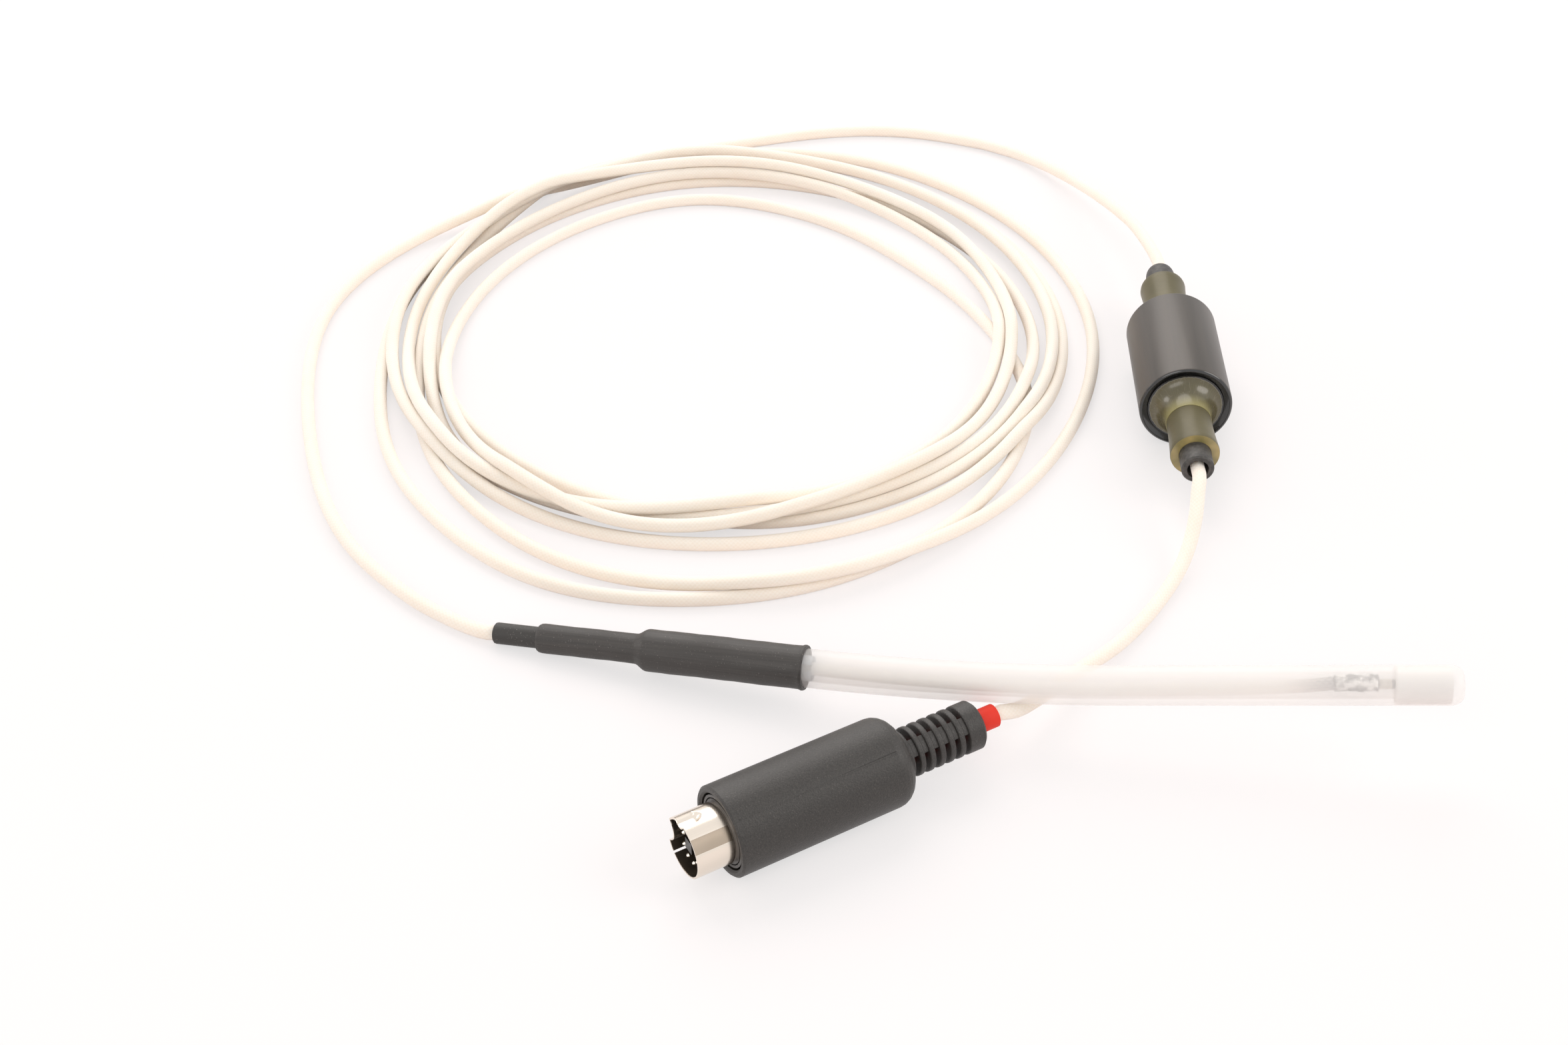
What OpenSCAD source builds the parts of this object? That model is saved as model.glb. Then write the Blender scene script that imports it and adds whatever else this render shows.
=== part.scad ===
// A temperature probe on a loose woven cable, with an in-line filter and a small round
// plug. The probe lies along X with its cable end on the floor, the plug and the filter
// lie on their sides, and the cable lies in a loose coil behind the probe.

/* [Sensing tube] */
// Outside diameter of the clear tube
sheath_d = 6; // [5.6:0.1:6.4]
// Bore of the clear tube
sheath_bore = 4; // [3.4:0.1:4.4]
// Straight stretch of the tube at its tip
tip_straight = 48; // [40:1:60]
// Gently bent stretch of the tube
bend_length = 48.5; // [30:0.5:60]
// Turn of the bent stretch in degrees
bend_turn = 9.5; // [4:0.5:12]
// Stretch of the tube that the black sleeve grips
sheath_grip = 22; // [15:1:23]
// Thickness of the closed end
end_wall = 1.8; // [1.2:0.1:3]
// Bevel round the closed end
end_bevel = 1.3; // [0.6:0.1:1.6]
// Length of the white filling behind the closed end
filling_length = 7.8; // [5:0.2:12]

/* [Sensing element] */
// Diameter of the white bead in front of the element
bead_d = 1.5; // [1:0.1:1.8]
// Length of the white bead
bead_length = 2.4; // [1.5:0.1:4]
// Diameter of the foil-wrapped element
element_d = 2.7; // [2.2:0.1:3]
// Length of the foil-wrapped element
element_length = 6.3; // [5:0.1:9]
// Height of the element above the tube's middle line
element_rise = 0.45; // [0:0.05:0.5]
// Diameter of the woven lead inside the tube
lead_d = 2; // [1.6:0.1:2.3]
// Sag of the woven lead below the tube's middle line
lead_sag = 0.8; // [0:0.1:0.85]

/* [Sleeves] */
// Outside diameter of the wide part of the black sleeve
wide_d = 6.8; // [6.6:0.1:8]
// Length of the wide part of the black sleeve
wide_length = 25.5; // [25:0.5:32]
// Outside diameter of the narrow part of the black sleeve
narrow_d = 4.8; // [4.3:0.1:5.4]
// Length of the narrow part of the black sleeve
narrow_length = 18.5; // [12:0.5:26]
// Length of the smooth step between the two
step_length = 2.2; // [1.5:0.1:2.8]
// Height of the rolled lip at the sleeve's open end
lip_height = 0.15; // [0.1:0.05:0.3]
// Outside diameter of the small sleeve on the cable
small_d = 3.45; // [3.1:0.05:4]
// Bare length of the small sleeve
small_length = 7.5; // [5:0.5:12]
// Length of the grey bush that holds the lead in the tube
bush_length = 10; // [6:0.5:14]
// Reach of the bush's fingers past the black sleeve
bush_reach = 1; // [0.5:0.1:2.5]
// Width of the slots between the bush's fingers
bush_slot = 1; // [0.6:0.1:1.4]
// Length of the slots between the bush's fingers
bush_slot_length = 3; // [1.5:0.1:4.5]

/* [Cable] */
// Diameter of the woven cable
cable_d = 2.4; // [2.2:0.05:2.6]

/* [Filter] */
// Outside diameter of the black housing
housing_d = 16.4; // [15:0.1:17]
// Length of the black housing
housing_length = 25.4; // [20:0.2:32]
// Wall of the black housing
housing_wall = 1.5; // [1:0.05:2]
// Round on the housing's outer edges
housing_round = 0.9; // [0.4:0.1:1]
// Outside diameter of the olive tube through the core
neck_d = 7.8; // [7.2:0.1:9]
// Flare of the olive tube at its two rims
neck_flare = 0.4; // [0:0.05:0.6]
// Reach of the olive tube past the housing
neck_length = 14; // [11:0.5:18]
// Reach of the olive resin along the tube
resin_reach = 4.6; // [3:0.2:7]
// Depth of the olive resin inside the housing
resin_depth = 4; // [3:0.5:6]
// Outside diameter of the front black grommet
grommet_d = 5.6; // [5:0.1:5.8]
// Reach of the front grommet past its tube
grommet_reach = 4.2; // [2.5:0.1:5]
// Wide mouth of the front grommet
grommet_mouth_d = 3.7; // [3.3:0.1:4.3]
// Depth of the front grommet's mouth
grommet_mouth = 2.4; // [1:0.1:5]
// Reach of the domed rear grommet past its tube
dome_reach = 4.6; // [3:0.1:6]
// Depth of both grommets inside the olive tube
grommet_depth = 7; // [4:0.5:9]

/* [Plug] */
// Outside diameter of the black hood
hood_d = 13.8; // [13.2:0.1:14.4]
// Length of the black hood
hood_length = 29.5; // [27:0.5:36]
// Wall of the hood's front rim
rim_wall = 1.1; // [0.9:0.05:1.3]
// Round of the hood's rear shoulder
shoulder = 2.8; // [1.5:0.1:3]
// Turn of the mould seam from the top, in degrees
seam_turn = 35; // [0:5:90]
// Outside diameter of the ribbed boot
boot_d = 7.6; // [7:0.1:8.4]
// Number of ribs on the boot
rib_count = 6; // [3:1:7]
// Distance from one rib to the next
rib_pitch = 1.75; // [1.6:0.05:2.2]
// Thickness of one rib
rib_width = 0.95; // [0.8:0.05:1.2]
// Width of the collar at the boot's end
boot_collar = 3; // [1.6:0.1:3.6]
// Width of the bridges between the ribs
bridge_width = 2.6; // [1.4:0.1:3]
// Depth of the bridges below the ribs
bridge_depth = 0.35; // [0.1:0.05:0.6]
// Round on the ribs' outer edges
rib_round = 0.25; // [0.1:0.05:0.35]
// Outside diameter of the red sleeve
red_d = 3.6; // [3.2:0.1:3.7]
// Reach of the red sleeve past the boot
red_reach = 3.6; // [2:0.1:4]
// Outside diameter of the metal shield
shield_d = 9.2; // [8.8:0.1:9.5]
// Thickness of the shield's sheet
shield_wall = 0.35; // [0.25:0.05:0.4]
// Reach of the shield past the hood
shield_reach = 5.9; // [5:0.1:7]
// Length of the two pressed dents from the shield's mouth
dent_length = 2.8; // [2:0.1:2.8]
// Diameter of the narrow dent in the shield's top
top_dent_d = 2.6; // [2:0.1:3]
// Depth of the narrow dent
top_dent_depth = 0.8; // [0.5:0.1:1]
// Diameter of the wide dent in the shield's far side
side_dent_d = 5; // [4:0.1:5.4]
// Depth of the wide dent
side_dent_depth = 1.7; // [1:0.1:1.8]
// Gap of the shield's open seam
shield_seam = 0.35; // [0.2:0.05:0.5]
// Turn of the open seam from the top, towards the far side, in degrees
shield_seam_turn = 140; // [125:5:160]
// Depth of the insulator's face behind the shield's mouth
insulator_depth = 4.1; // [3.8:0.1:4.5]
// Diameter of one contact pin
pin_d = 0.65; // [0.5:0.05:0.8]
// Length of a pin in front of the insulator
pin_length = 3.2; // [2.5:0.1:4]

/* [Hidden] */

$fn = 64;
// Running gap between pieces that slide into each other
slip = 0.03;
// Overshoot of a cut past the face it opens
cut = 0.5;
// Facets of a cord, seen end on
cord_sides = 8;

// Tilt of the whole probe, which lies with its tube on the cable
tilt = 5.75;
// Radius of the bend, measured on the tube's middle line
bend_r = bend_length / (bend_turn * PI / 180);
handle_length = wide_length + narrow_length + small_length;
// Reach of a point of the handle from the bend's front end, and the whole probe's reach
function back_to(x) = bend_r * sin(bend_turn) - x * cos(bend_turn);
probe_reach = back_to(-handle_length);
probe_side = bend_r * (1 - cos(bend_turn)) + handle_length * sin(bend_turn);
// Height at which the sleeves just touch the floor, whichever of them is the lowest
function lift(x, d) = d / 2 * cos(tilt) + back_to(x) * sin(tilt);
bend_x = (probe_reach - tip_straight) * cos(tilt) / 2;
bend_y = (sheath_d / 2 - probe_side - small_d / 2 * cos(bend_turn)) / 2;
bend_z = max(lift(-handle_length, small_d), lift(small_length - handle_length, narrow_d),
    lift(-wide_length, wide_d));

// Places along the straight tip, counted from the end of the bend
filling_front = tip_straight - end_wall;
filling_back = filling_front - filling_length;
element_front = filling_back - bead_length;
element_back = element_front - element_length;

// Filter: middle of its near face, and its turn in plan
filter_x = 37.9;
filter_y = 71.9;
filter_turn = 93.9;
housing_bore = housing_d - 2 * housing_wall;
front_end = -neck_length - grommet_reach;
rear_end = housing_length + neck_length + dome_reach;

// Plug: middle of the hood's front face, and its turn in plan
plug_x = -31.3;
plug_y = -36.8;
plug_turn = 36.5;
boot_length = rib_count * rib_pitch + boot_collar;
red_end = hood_length + boot_length + red_reach;
red_grip = 3;
// The shield steps in where it enters the hood, a small gap before the hood's face
shield_gap = 0.1;
shield_root_d = shield_d - 0.5;
insulator_d = shield_root_d - 0.6;
band_width = 2;
band_depth = 0.08;
band_turn = 47;
// Where the two dents lie around the shield, from its far side over its top
top_dent_turn = 80;
side_dent_turn = 3;
collar_d = shield_d + 1.8;
collar_inset = 0.4;
collar_groove_d = shield_d + 1;
collar_length = 4;
collar_end = collar_inset + collar_length;
shell_d = collar_d - 0.6;
shell_wall = 0.4;
shell_end = hood_length - shoulder - 1.2;
clamp_grip = 6;
cable_strip = shell_end - clamp_grip;
insulator_face = insulator_depth - shield_reach;
wire_joint = 2;
pin_back = collar_end + wire_joint;
rim_bevel = 0.3;

// Coil: its middle, its reach inwards and outwards, and its height
coil_x = -47.5;
coil_y = 91.5;
coil_inner = 44;
coil_outer = 75;
coil_height = 9.6;
coil_round = 3;

// Cable on the floor from the small sleeve round the coil's left side
LEAD_ROUTE = [
    [-80, 9.2, 1.3], [-85.5, 12.2, 1.3], [-91, 15.8, 1.3], [-97, 20.4, 1.3], [-102.6, 26, 1.3],
    [-107.4, 32.8, 1.3], [-111.4, 40, 1.3], [-115, 48, 1.3], [-118.5, 57, 1.3],
    [-121.8, 67, 1.3], [-124.4, 76.5, 1.3], [-126.2, 86, 1.3], [-127, 95, 1.3],
    [-126, 104, 1.3], [-123, 113.5, 1.3], [-118, 122.8, 1.3], [-111.5, 130.8, 1.3]
];
// Cable from under the coil's far side up to the filter
RETURN_ROUTE = [
    [-90, 153, 1.3], [-84, 159.5, 1.3], [-77, 164.2, 1.3], [-70, 167.4, 1.3],
    [-62, 170.6, 1.3], [-54, 174, 1.3], [-46, 177.8, 1.3], [-37, 181, 1.3],
    [-27.5, 183.4, 1.3], [-18, 183.6, 1.3], [-9, 182, 1.3], [-0.5, 179, 1.3], [6.8, 175, 1.5],
    [12.4, 170, 2], [16.8, 164.4, 2.8], [20.6, 158.4, 3.8], [24.2, 151.6, 5], [27.8, 143.8, 6.3],
    [31, 135.6, 7.4]
];
// Cable between the filter's front end and the plug's red sleeve, under the tube
TAIL_ROUTE = [
    [39, 48.6, 7.5], [38.6, 44, 5.8], [37.6, 39, 3.6], [36, 34.4, 2], [33.4, 28.6, 1.3],
    [29.4, 21, 1.3], [25.4, 14.8, 1.5], [21.4, 9.4, 2.4], [17.4, 4, 3.7], [14.2, -0.8, 4.8],
    [12, -4, 5.6], [9.6, -6.6, 6]
];

// Frames of the three assemblies
module on_tip() {
    translate([bend_x, bend_y, bend_z]) rotate([0, -tilt, 0]) children();
}

module on_handle() {
    on_tip() translate([-bend_r * sin(bend_turn), bend_r * (1 - cos(bend_turn)), 0])
        rotate([0, 0, -bend_turn]) children();
}

module on_filter() {
    translate([filter_x, filter_y, housing_d / 2]) rotate([0, 0, filter_turn]) children();
}

module on_plug() {
    translate([plug_x, plug_y, hood_d / 2]) rotate([0, 0, plug_turn]) children();
}

// Where a point of an assembly's own frame lies in the whole
function turned(p, a) = [p.x * cos(a) - p.y * sin(a), p.x * sin(a) + p.y * cos(a), p.z];
function tilted(p) = [p.x * cos(tilt) - p.z * sin(tilt), p.y, p.x * sin(tilt) + p.z * cos(tilt)];
function at_tip(p) = [bend_x, bend_y, bend_z] + tilted(p);
function at_handle(p) = at_tip([-bend_r * sin(bend_turn), bend_r * (1 - cos(bend_turn)), 0]
    + turned(p, -bend_turn));
function at_filter(p) = [filter_x, filter_y, housing_d / 2] + turned(p, filter_turn);
function at_plug(p) = [plug_x, plug_y, hood_d / 2] + turned(p, plug_turn);

// Rods, tubes and turned shapes along X, from one place to another
module rod(from, to, d) {
    translate([from, 0, 0]) rotate([0, 90, 0]) cylinder(h = to - from, d = d);
}

module pipe(from, to, outer, inner) {
    difference() {
        rod(from, to, outer);
        rod(from - cut, to + cut, inner);
    }
}

// A profile is a list of [place along X, radius] points
module turned_shape(profile) {
    rotate([0, 90, 0]) rotate_extrude() polygon([for (p = profile) [p[1], p[0]]]);
}

// A smooth S between two radii, as profile points
function s_curve(x0, r0, x1, r1, steps) = [
    for (k = [0 : steps]) let (t = k / steps)
        [x0 + (x1 - x0) * t, r0 + (r1 - r0) * (1 - cos(180 * t)) / 2]
];

// Tube along a cord's points
function unit(v) = v / norm(v);
function heading(p, i) = unit(p[min(i + 1, len(p) - 1)] - p[max(i - 1, 0)]);
function ring(centre, dir, r, sides) = let (side = unit(cross(dir, [0, 0, 1])), up = cross(side, dir)) [
    for (j = [0 : sides - 1]) centre + r * (cos(360 * j / sides) * side + sin(360 * j / sides) * up)
];

module cord(p, d, sides) {
    last = len(p) - 1;
    rings = [for (i = [0 : last]) each ring(p[i], heading(p, i), d / 2, sides)];
    walls = [
        for (i = [0 : last - 1]) for (j = [0 : sides - 1]) let (k = (j + 1) % sides)
            [i * sides + j, i * sides + k, (i + 1) * sides + k, (i + 1) * sides + j]
    ];
    start = [for (j = [sides - 1 : -1 : 0]) j];
    end = [for (j = [0 : sides - 1]) last * sides + j];
    polyhedron(rings, concat([start], walls, [end]));
}

// The probe's tube and what is in it
// Round bar along the tube's middle line: gripped stretch, bend and straight tip. The bend
// runs a little way into both straight stretches, and is trimmed to stay within them
bend_lap = 0.5;
bend_sides = 32;
function bend_at(a) = at_tip([-bend_r * sin(a), bend_r * (1 - cos(a)), 0]);
module tube_bar(back, front, d, trim) {
    on_handle() rod(back, 0, d);
    cord(concat([at_handle([-bend_lap, 0, 0])], [for (k = [8 : -1 : 0]) bend_at(bend_turn * k / 8)],
        [at_tip([bend_lap, 0, 0])]), d - trim, bend_sides);
    on_tip() rod(0, front, d);
}

module sheath_tube() color([0.93, 0.92, 0.9, 0.5]) difference() {
    union() {
        tube_bar(-sheath_grip, filling_front - 1, sheath_d, slip);
        on_tip() turned_shape([
            [filling_front - 1, 0], [filling_front - 1, sheath_d / 2],
            [tip_straight - end_bevel * 1.2, sheath_d / 2],
            [tip_straight - end_bevel * 0.8, sheath_d / 2 - end_bevel * 0.1],
            [tip_straight - end_bevel * 0.3, sheath_d / 2 - end_bevel * 0.55],
            [tip_straight, sheath_d / 2 - end_bevel], [tip_straight, 0]
        ]);
    }
    tube_bar(-sheath_grip - cut, filling_front, sheath_bore, -slip);
}

module tip_filling() color("white") on_tip()
    rod(filling_back, filling_front, sheath_bore - 2 * slip);

module sensor_bead() color("ivory") on_tip() translate([0, 0, element_rise / 2]) turned_shape([
    [element_front, 0], [element_front, bead_d / 2 - 0.1], [element_front + 0.3, bead_d / 2],
    [filling_back - 0.3, bead_d / 2], [filling_back, bead_d / 2 - 0.2], [filling_back, 0]
]);

// The element's foil is wrapped unevenly round it, so its middle is a little fuller
module sensor_element() color("silver") on_tip() translate([0, 0, element_rise]) turned_shape(concat(
    [[element_back, 0]],
    [for (k = [0 : 8]) [element_back + element_length * k / 8,
        element_d / 2 - (k % 2 == 0 ? 0.22 : 0.08) + 0.08 * sin(180 * k / 8)]],
    [[element_front, 0]]));

module inner_lead() color("antiquewhite") {
    arc = bend_length - bush_reach;
    cord([
        for (k = [0 : 24]) let (
            t = k / 24, s = element_back - t * (element_back + arc),
            a = max(0, -s) / bend_r * 180 / PI,
            place = s > 0 ? [s, 0, 0] : [-bend_r * sin(a), bend_r * (1 - cos(a)), 0])
            at_tip(place + [0, 0, element_rise * pow(1 - t, 6) - lead_sag * sin(180 * pow(t, 0.6))])
    ], lead_d, 12);
}

module tube_bush() color("slategray") on_handle() difference() {
    rod(bush_reach - bush_length, bush_reach, sheath_bore - 2 * slip);
    rod(bush_reach - bush_length - cut, bush_reach - bush_length / 2, cable_d + 2 * slip);
    rod(bush_reach - bush_length, bush_reach + cut, lead_d + 2 * slip);
    for (a = [45, 135]) rotate([a, 0, 0])
        translate([bush_reach - bush_slot_length, -sheath_bore, -bush_slot / 2])
            cube([bush_slot_length + cut, 2 * sheath_bore, bush_slot]);
}

// Sleeves of the handle
module main_sleeve() color([0.15, 0.15, 0.16]) on_handle() {
    step_x = -wide_length;
    end_x = step_x - narrow_length;
    turned_shape(concat(
        [[0, sheath_d / 2 + slip], [-sheath_grip, sheath_d / 2 + slip]],
        s_curve(-sheath_grip, sheath_d / 2 + slip, step_x - step_length / 2, small_d / 2 + slip, 8),
        [[end_x, small_d / 2 + slip], [end_x, narrow_d / 2 - 0.15], [end_x + 0.3, narrow_d / 2]],
        s_curve(step_x - step_length, narrow_d / 2, step_x, wide_d / 2, 10),
        [[-0.7, wide_d / 2], [-0.35, wide_d / 2 + lip_height], [0, wide_d / 2 + lip_height / 2]]));
}

module cable_sleeve() color([0.15, 0.15, 0.16]) on_handle()
    pipe(-handle_length, -wide_length - step_length, small_d, cable_d + 2 * slip);

module probe_cable() color("white") on_handle()
    rod(-handle_length, bush_reach - bush_length / 2, cable_d);

// The cable's free stretches and its loose coil
module cable_lead() color("white") {
    exit = at_handle([-handle_length, 0, 0]);
    away = at_handle([-handle_length - cable_d, 0, 0]);
    cord(concat([exit, away], LEAD_ROUTE), cable_d, cord_sides);
}

module cable_coil() color("white") translate([coil_x, coil_y, 0]) rotate_extrude($fn = 120) {
    translate([coil_inner + coil_round, 0]) square([coil_outer - coil_inner - 2 * coil_round, coil_height]);
    translate([coil_inner, coil_round]) square([coil_outer - coil_inner, coil_height - 2 * coil_round]);
    for (r = [coil_inner + coil_round, coil_outer - coil_round])
        for (z = [coil_round, coil_height - coil_round])
            translate([r, z]) circle(r = coil_round, $fn = 32);
}

module cable_return() color("white") cord(concat(RETURN_ROUTE,
    [at_filter([rear_end + 3 * cable_d, 0, 0]), at_filter([rear_end, 0, 0])]), cable_d, cord_sides);

module cable_tail() color("white") cord(concat(
    [at_filter([front_end, 0, 0]), at_filter([front_end - cable_d, 0, 0])], TAIL_ROUTE,
    [at_plug([red_end + cable_d / 2, 0, 0]), at_plug([red_end, 0, 0])]), cable_d, cord_sides);

// Filter
module filter_housing() color([0.12, 0.12, 0.12]) on_filter() {
    bore = housing_bore / 2;
    edge = [for (a = [0 : 15 : 90])
        [housing_round * (1 - sin(a)), housing_d / 2 - housing_round * (1 - cos(a))]];
    turned_shape(concat(
        [[0.3, bore], [0, bore + 0.3]],
        [for (k = [6 : -1 : 0]) edge[k]],
        [for (k = [0 : 6]) [housing_length - edge[k].x, edge[k].y]],
        [[housing_length, bore + 0.3], [housing_length - 0.3, bore]]));
}

module ferrite_core() color([0.3, 0.3, 0.32]) on_filter()
    pipe(resin_depth, housing_length - resin_depth, housing_bore - 2 * slip, neck_d + 2 * slip);

// Olive tube through the core, with both rims flared
module core_tube() color([0.45, 0.42, 0.2, 0.85]) on_filter() {
    rim = neck_length - resin_reach;
    turned_shape(concat(
        [[-neck_length, grommet_d / 2 + slip], [-neck_length, neck_d / 2 + neck_flare]],
        [for (t = [0.2 : 0.2 : 1]) [-neck_length + rim * t, neck_d / 2 + neck_flare * pow(1 - t, 2)]],
        [for (t = [1 : -0.2 : 0.2]) [housing_length + neck_length - rim * t,
            neck_d / 2 + neck_flare * pow(1 - t, 2)]],
        [[housing_length + neck_length, neck_d / 2 + neck_flare],
            [housing_length + neck_length, grommet_d / 2 + slip]]));
}

// Olive resin: it fills the housing's end and runs down to the tube in a hollow cone
module resin() {
    span = housing_bore / 2 - neck_d / 2 - slip;
    turned_shape(concat(
        [[resin_depth, neck_d / 2 + slip], [resin_depth, housing_bore / 2 - slip]],
        [for (a = [0 : 10 : 90]) [0.4 - (resin_reach + 0.4) * (1 - cos(a)),
            housing_bore / 2 - slip - (span - 0.1) * sin(a)]],
        [[-resin_reach, neck_d / 2 + slip]]));
}

module front_resin() color([0.45, 0.42, 0.2, 0.8]) on_filter() resin();

module rear_resin() color([0.45, 0.42, 0.2, 0.8]) on_filter()
    translate([housing_length, 0, 0]) mirror([1, 0, 0]) resin();

module front_grommet() color([0.1, 0.1, 0.1]) on_filter() turned_shape([
    [front_end, grommet_mouth_d / 2], [front_end, grommet_d / 2 - 0.25],
    [front_end + 0.25, grommet_d / 2], [grommet_depth - neck_length, grommet_d / 2],
    [grommet_depth - neck_length, cable_d / 2 + slip],
    [front_end + grommet_mouth + 0.8, cable_d / 2 + slip],
    [front_end + grommet_mouth, grommet_mouth_d / 2]
]);

module rear_grommet() color([0.1, 0.1, 0.1]) on_filter() {
    foot = housing_length + neck_length;
    straight = dome_reach * 0.4;
    turned_shape(concat(
        [[foot - grommet_depth, cable_d / 2 + slip], [foot - grommet_depth, grommet_d / 2]],
        [for (a = [0 : 10 : 90]) [foot + straight + (dome_reach - straight) * sin(a),
            cable_d / 2 + slip + (grommet_d / 2 - cable_d / 2 - slip) * cos(a)]]));
}

module filter_cable() color("white") on_filter() rod(front_end, rear_end, cable_d);

// Plug. Its mould seam and the boot's bridges lie on one line along it
module plug_hood() color([0.12, 0.12, 0.12]) on_plug() {
    outer = hood_d / 2;
    difference() {
        union() {
            turned_shape(concat(
                [[0, 0], [0, outer - 0.3], [0.3, outer]],
                [for (a = [0 : 15 : 90]) [hood_length - shoulder * (1 - sin(a)),
                    outer - shoulder * (1 - cos(a))]],
                [[hood_length, 0]]));
            boot();
            rotate([seam_turn, 0, 0]) translate([1, -0.1, outer - 0.2])
                cube([hood_length - shoulder - 1, 0.2, 0.26]);
        }
        rod(-cut, collar_end, hood_d - 2 * rim_wall);
        turned_shape([[-cut, 0], [-cut, outer - rim_wall + rim_bevel + cut],
            [rim_bevel, outer - rim_wall], [rim_bevel, 0]]);
        rod(0, shell_end, shell_d + 2 * slip);
        rod(0, hood_length + boot_length + cut, red_d + 2 * slip);
    }
}

// Ribbed boot: rings joined by a bridge on two sides, and a collar at the end
module boot() {
    end = hood_length + boot_length;
    difference() {
        turned_shape([
            [hood_length - 0.5, 0], [hood_length - 0.5, boot_d / 2], [end - 0.4, boot_d / 2],
            [end, boot_d / 2 - 0.4], [end, 0]
        ]);
        for (k = [1 : rib_count]) translate([hood_length + k * rib_pitch, 0, 0]) difference() {
            boot_gap();
            intersection() {
                rod(-2 * rib_pitch, rib_pitch, boot_d - 2 * bridge_depth);
                rotate([seam_turn, 0, 0]) translate([-2 * rib_pitch, -bridge_width / 2, -boot_d])
                    cube([3 * rib_pitch, bridge_width, 2 * boot_d]);
            }
        }
    }
}

// Gap between two ribs, which opens in a quarter round at each rib's edge
module boot_gap() {
    wide = rib_pitch - rib_width;
    outer = boot_d / 2;
    arc = [for (a = [0 : 30 : 90]) [rib_round * (1 - cos(a)), outer - rib_round * (1 - sin(a))]];
    turned_shape(concat(
        [[-wide, 0]],
        [for (p = arc) [-wide - p.x, p.y]],
        [[-wide - rib_round, outer + cut], [rib_round, outer + cut]],
        [for (k = [3 : -1 : 0]) [arc[k].x, arc[k].y]],
        [[0, 0]]));
}

// Shield: a rolled sheet with two pressed dents at its mouth and a shallow band
module shield_section(d, dents) difference() {
    circle(d = d);
    inset = (shield_d - d) / 2;
    if (dents) {
        rotate(top_dent_turn) dent(top_dent_d, top_dent_depth, inset);
        rotate(side_dent_turn) dent(side_dent_d, side_dent_depth, inset);
    }
}

module dent(d, depth, inset) translate([(shield_d + d) / 2 - depth, 0])
    circle(d = d + 2 * inset, $fn = 32);

// The section's own up is the plug's up, and its right is the plug's far side
module along_plug(from, to) translate([from, 0, 0]) rotate([90, 0, 90]) linear_extrude(to - from)
    children();

module shield_tube(from, to, dents) along_plug(from, to) difference() {
    shield_section(shield_d, dents);
    shield_section(shield_d - 2 * shield_wall, dents);
}

module plug_shield() color("silver") on_plug() difference() {
    union() {
        shield_tube(-shield_reach, dent_length - shield_reach, true);
        shield_tube(dent_length - shield_reach, -shield_gap, false);
        pipe(-cut, collar_end, shield_root_d, insulator_d + 2 * slip);
    }
    rotate([band_turn, 0, 0]) translate([-shield_reach - cut, -band_width / 2, shield_d / 2 - band_depth])
        cube([shield_reach + cut - shield_gap, band_width, 1]);
    rotate([-shield_seam_turn, 0, 0]) translate([-shield_reach - cut, -shield_seam / 2, shield_d / 3])
        cube([shield_reach + cut - shield_gap, shield_seam, shield_d / 3]);
}

module plug_collar() color([0.1, 0.1, 0.1]) on_plug() difference() {
    pipe(collar_inset, collar_end, collar_d, shield_root_d);
    translate([collar_inset - cut, 0, 0]) pipe(0, cut + 0.5, collar_groove_d, collar_groove_d - 0.4);
}

// Insulator with the key post, and six pins in three rows
PIN_PLACES = [[-2.3, 0.9], [1.9, 0.9], [-2.2, -1.3], [1.8, -1.3], [-1, -2.7], [0.7, -2.7]];
module pin_places() {
    for (p = PIN_PLACES) translate([0, p[0], p[1]]) children();
}

module plug_insulator() color([0.05, 0.05, 0.05]) on_plug() difference() {
    union() {
        rod(insulator_face, -shield_gap - cut, shield_d - 2 * shield_wall - 2 * slip);
        rod(insulator_face, collar_end, insulator_d);
        translate([insulator_face - pin_length, -0.9, -1]) cube([pin_length + 1, 1.8, 2]);
    }
    pin_places() rod(insulator_face - cut, collar_end + cut, pin_d);
}

module contact_pins() color("gold") on_plug() pin_places() turned_shape([
    [insulator_face - pin_length, 0], [insulator_face - pin_length, pin_d / 4],
    [insulator_face - pin_length + 0.3, pin_d / 2], [pin_back, pin_d / 2], [pin_back, 0]
]);

// Pressed half shell that grips the cable inside the hood
module clamp_shell() difference() {
    union() {
        pipe(collar_end, shell_end, shell_d, shell_d - 2 * shell_wall);
        pipe(shell_end - shell_wall, shell_end, shell_d, red_d + 2 * slip);
    }
    translate([0, -shell_d, -shell_d]) cube([hood_length, 2 * shell_d, shell_d + slip]);
}

module clamp_upper() color("silver") on_plug() clamp_shell();

module clamp_lower() color("silver") on_plug() mirror([0, 0, 1]) clamp_shell();

// Straight wire from one point to another
module wire(from, to, d) {
    v = to - from;
    translate(from) rotate([0, acos(v.z / norm(v)), atan2(v.y, v.x)]) cylinder(h = norm(v), d = d);
}

// One wire from each pin into the cable's end
module core_wires() color("white") on_plug()
    for (p = PIN_PLACES) wire([pin_back, p[0], p[1]], [cable_strip, p[0] / 4, p[1] / 4], pin_d);

module plug_cable() color("white") on_plug() rod(cable_strip, red_end, cable_d);

module red_sleeve() color("red") on_plug()
    pipe(shell_end - red_grip, red_end, red_d, cable_d + 2 * slip);

sheath_tube();
tip_filling();
sensor_bead();
sensor_element();
inner_lead();
tube_bush();
main_sleeve();
cable_sleeve();
probe_cable();
cable_lead();
cable_coil();
cable_return();
cable_tail();
filter_housing();
ferrite_core();
core_tube();
front_resin();
rear_resin();
front_grommet();
rear_grommet();
filter_cable();
plug_hood();
plug_shield();
plug_collar();
plug_insulator();
contact_pins();
clamp_upper();
clamp_lower();
core_wires();
plug_cable();
red_sleeve();
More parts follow.
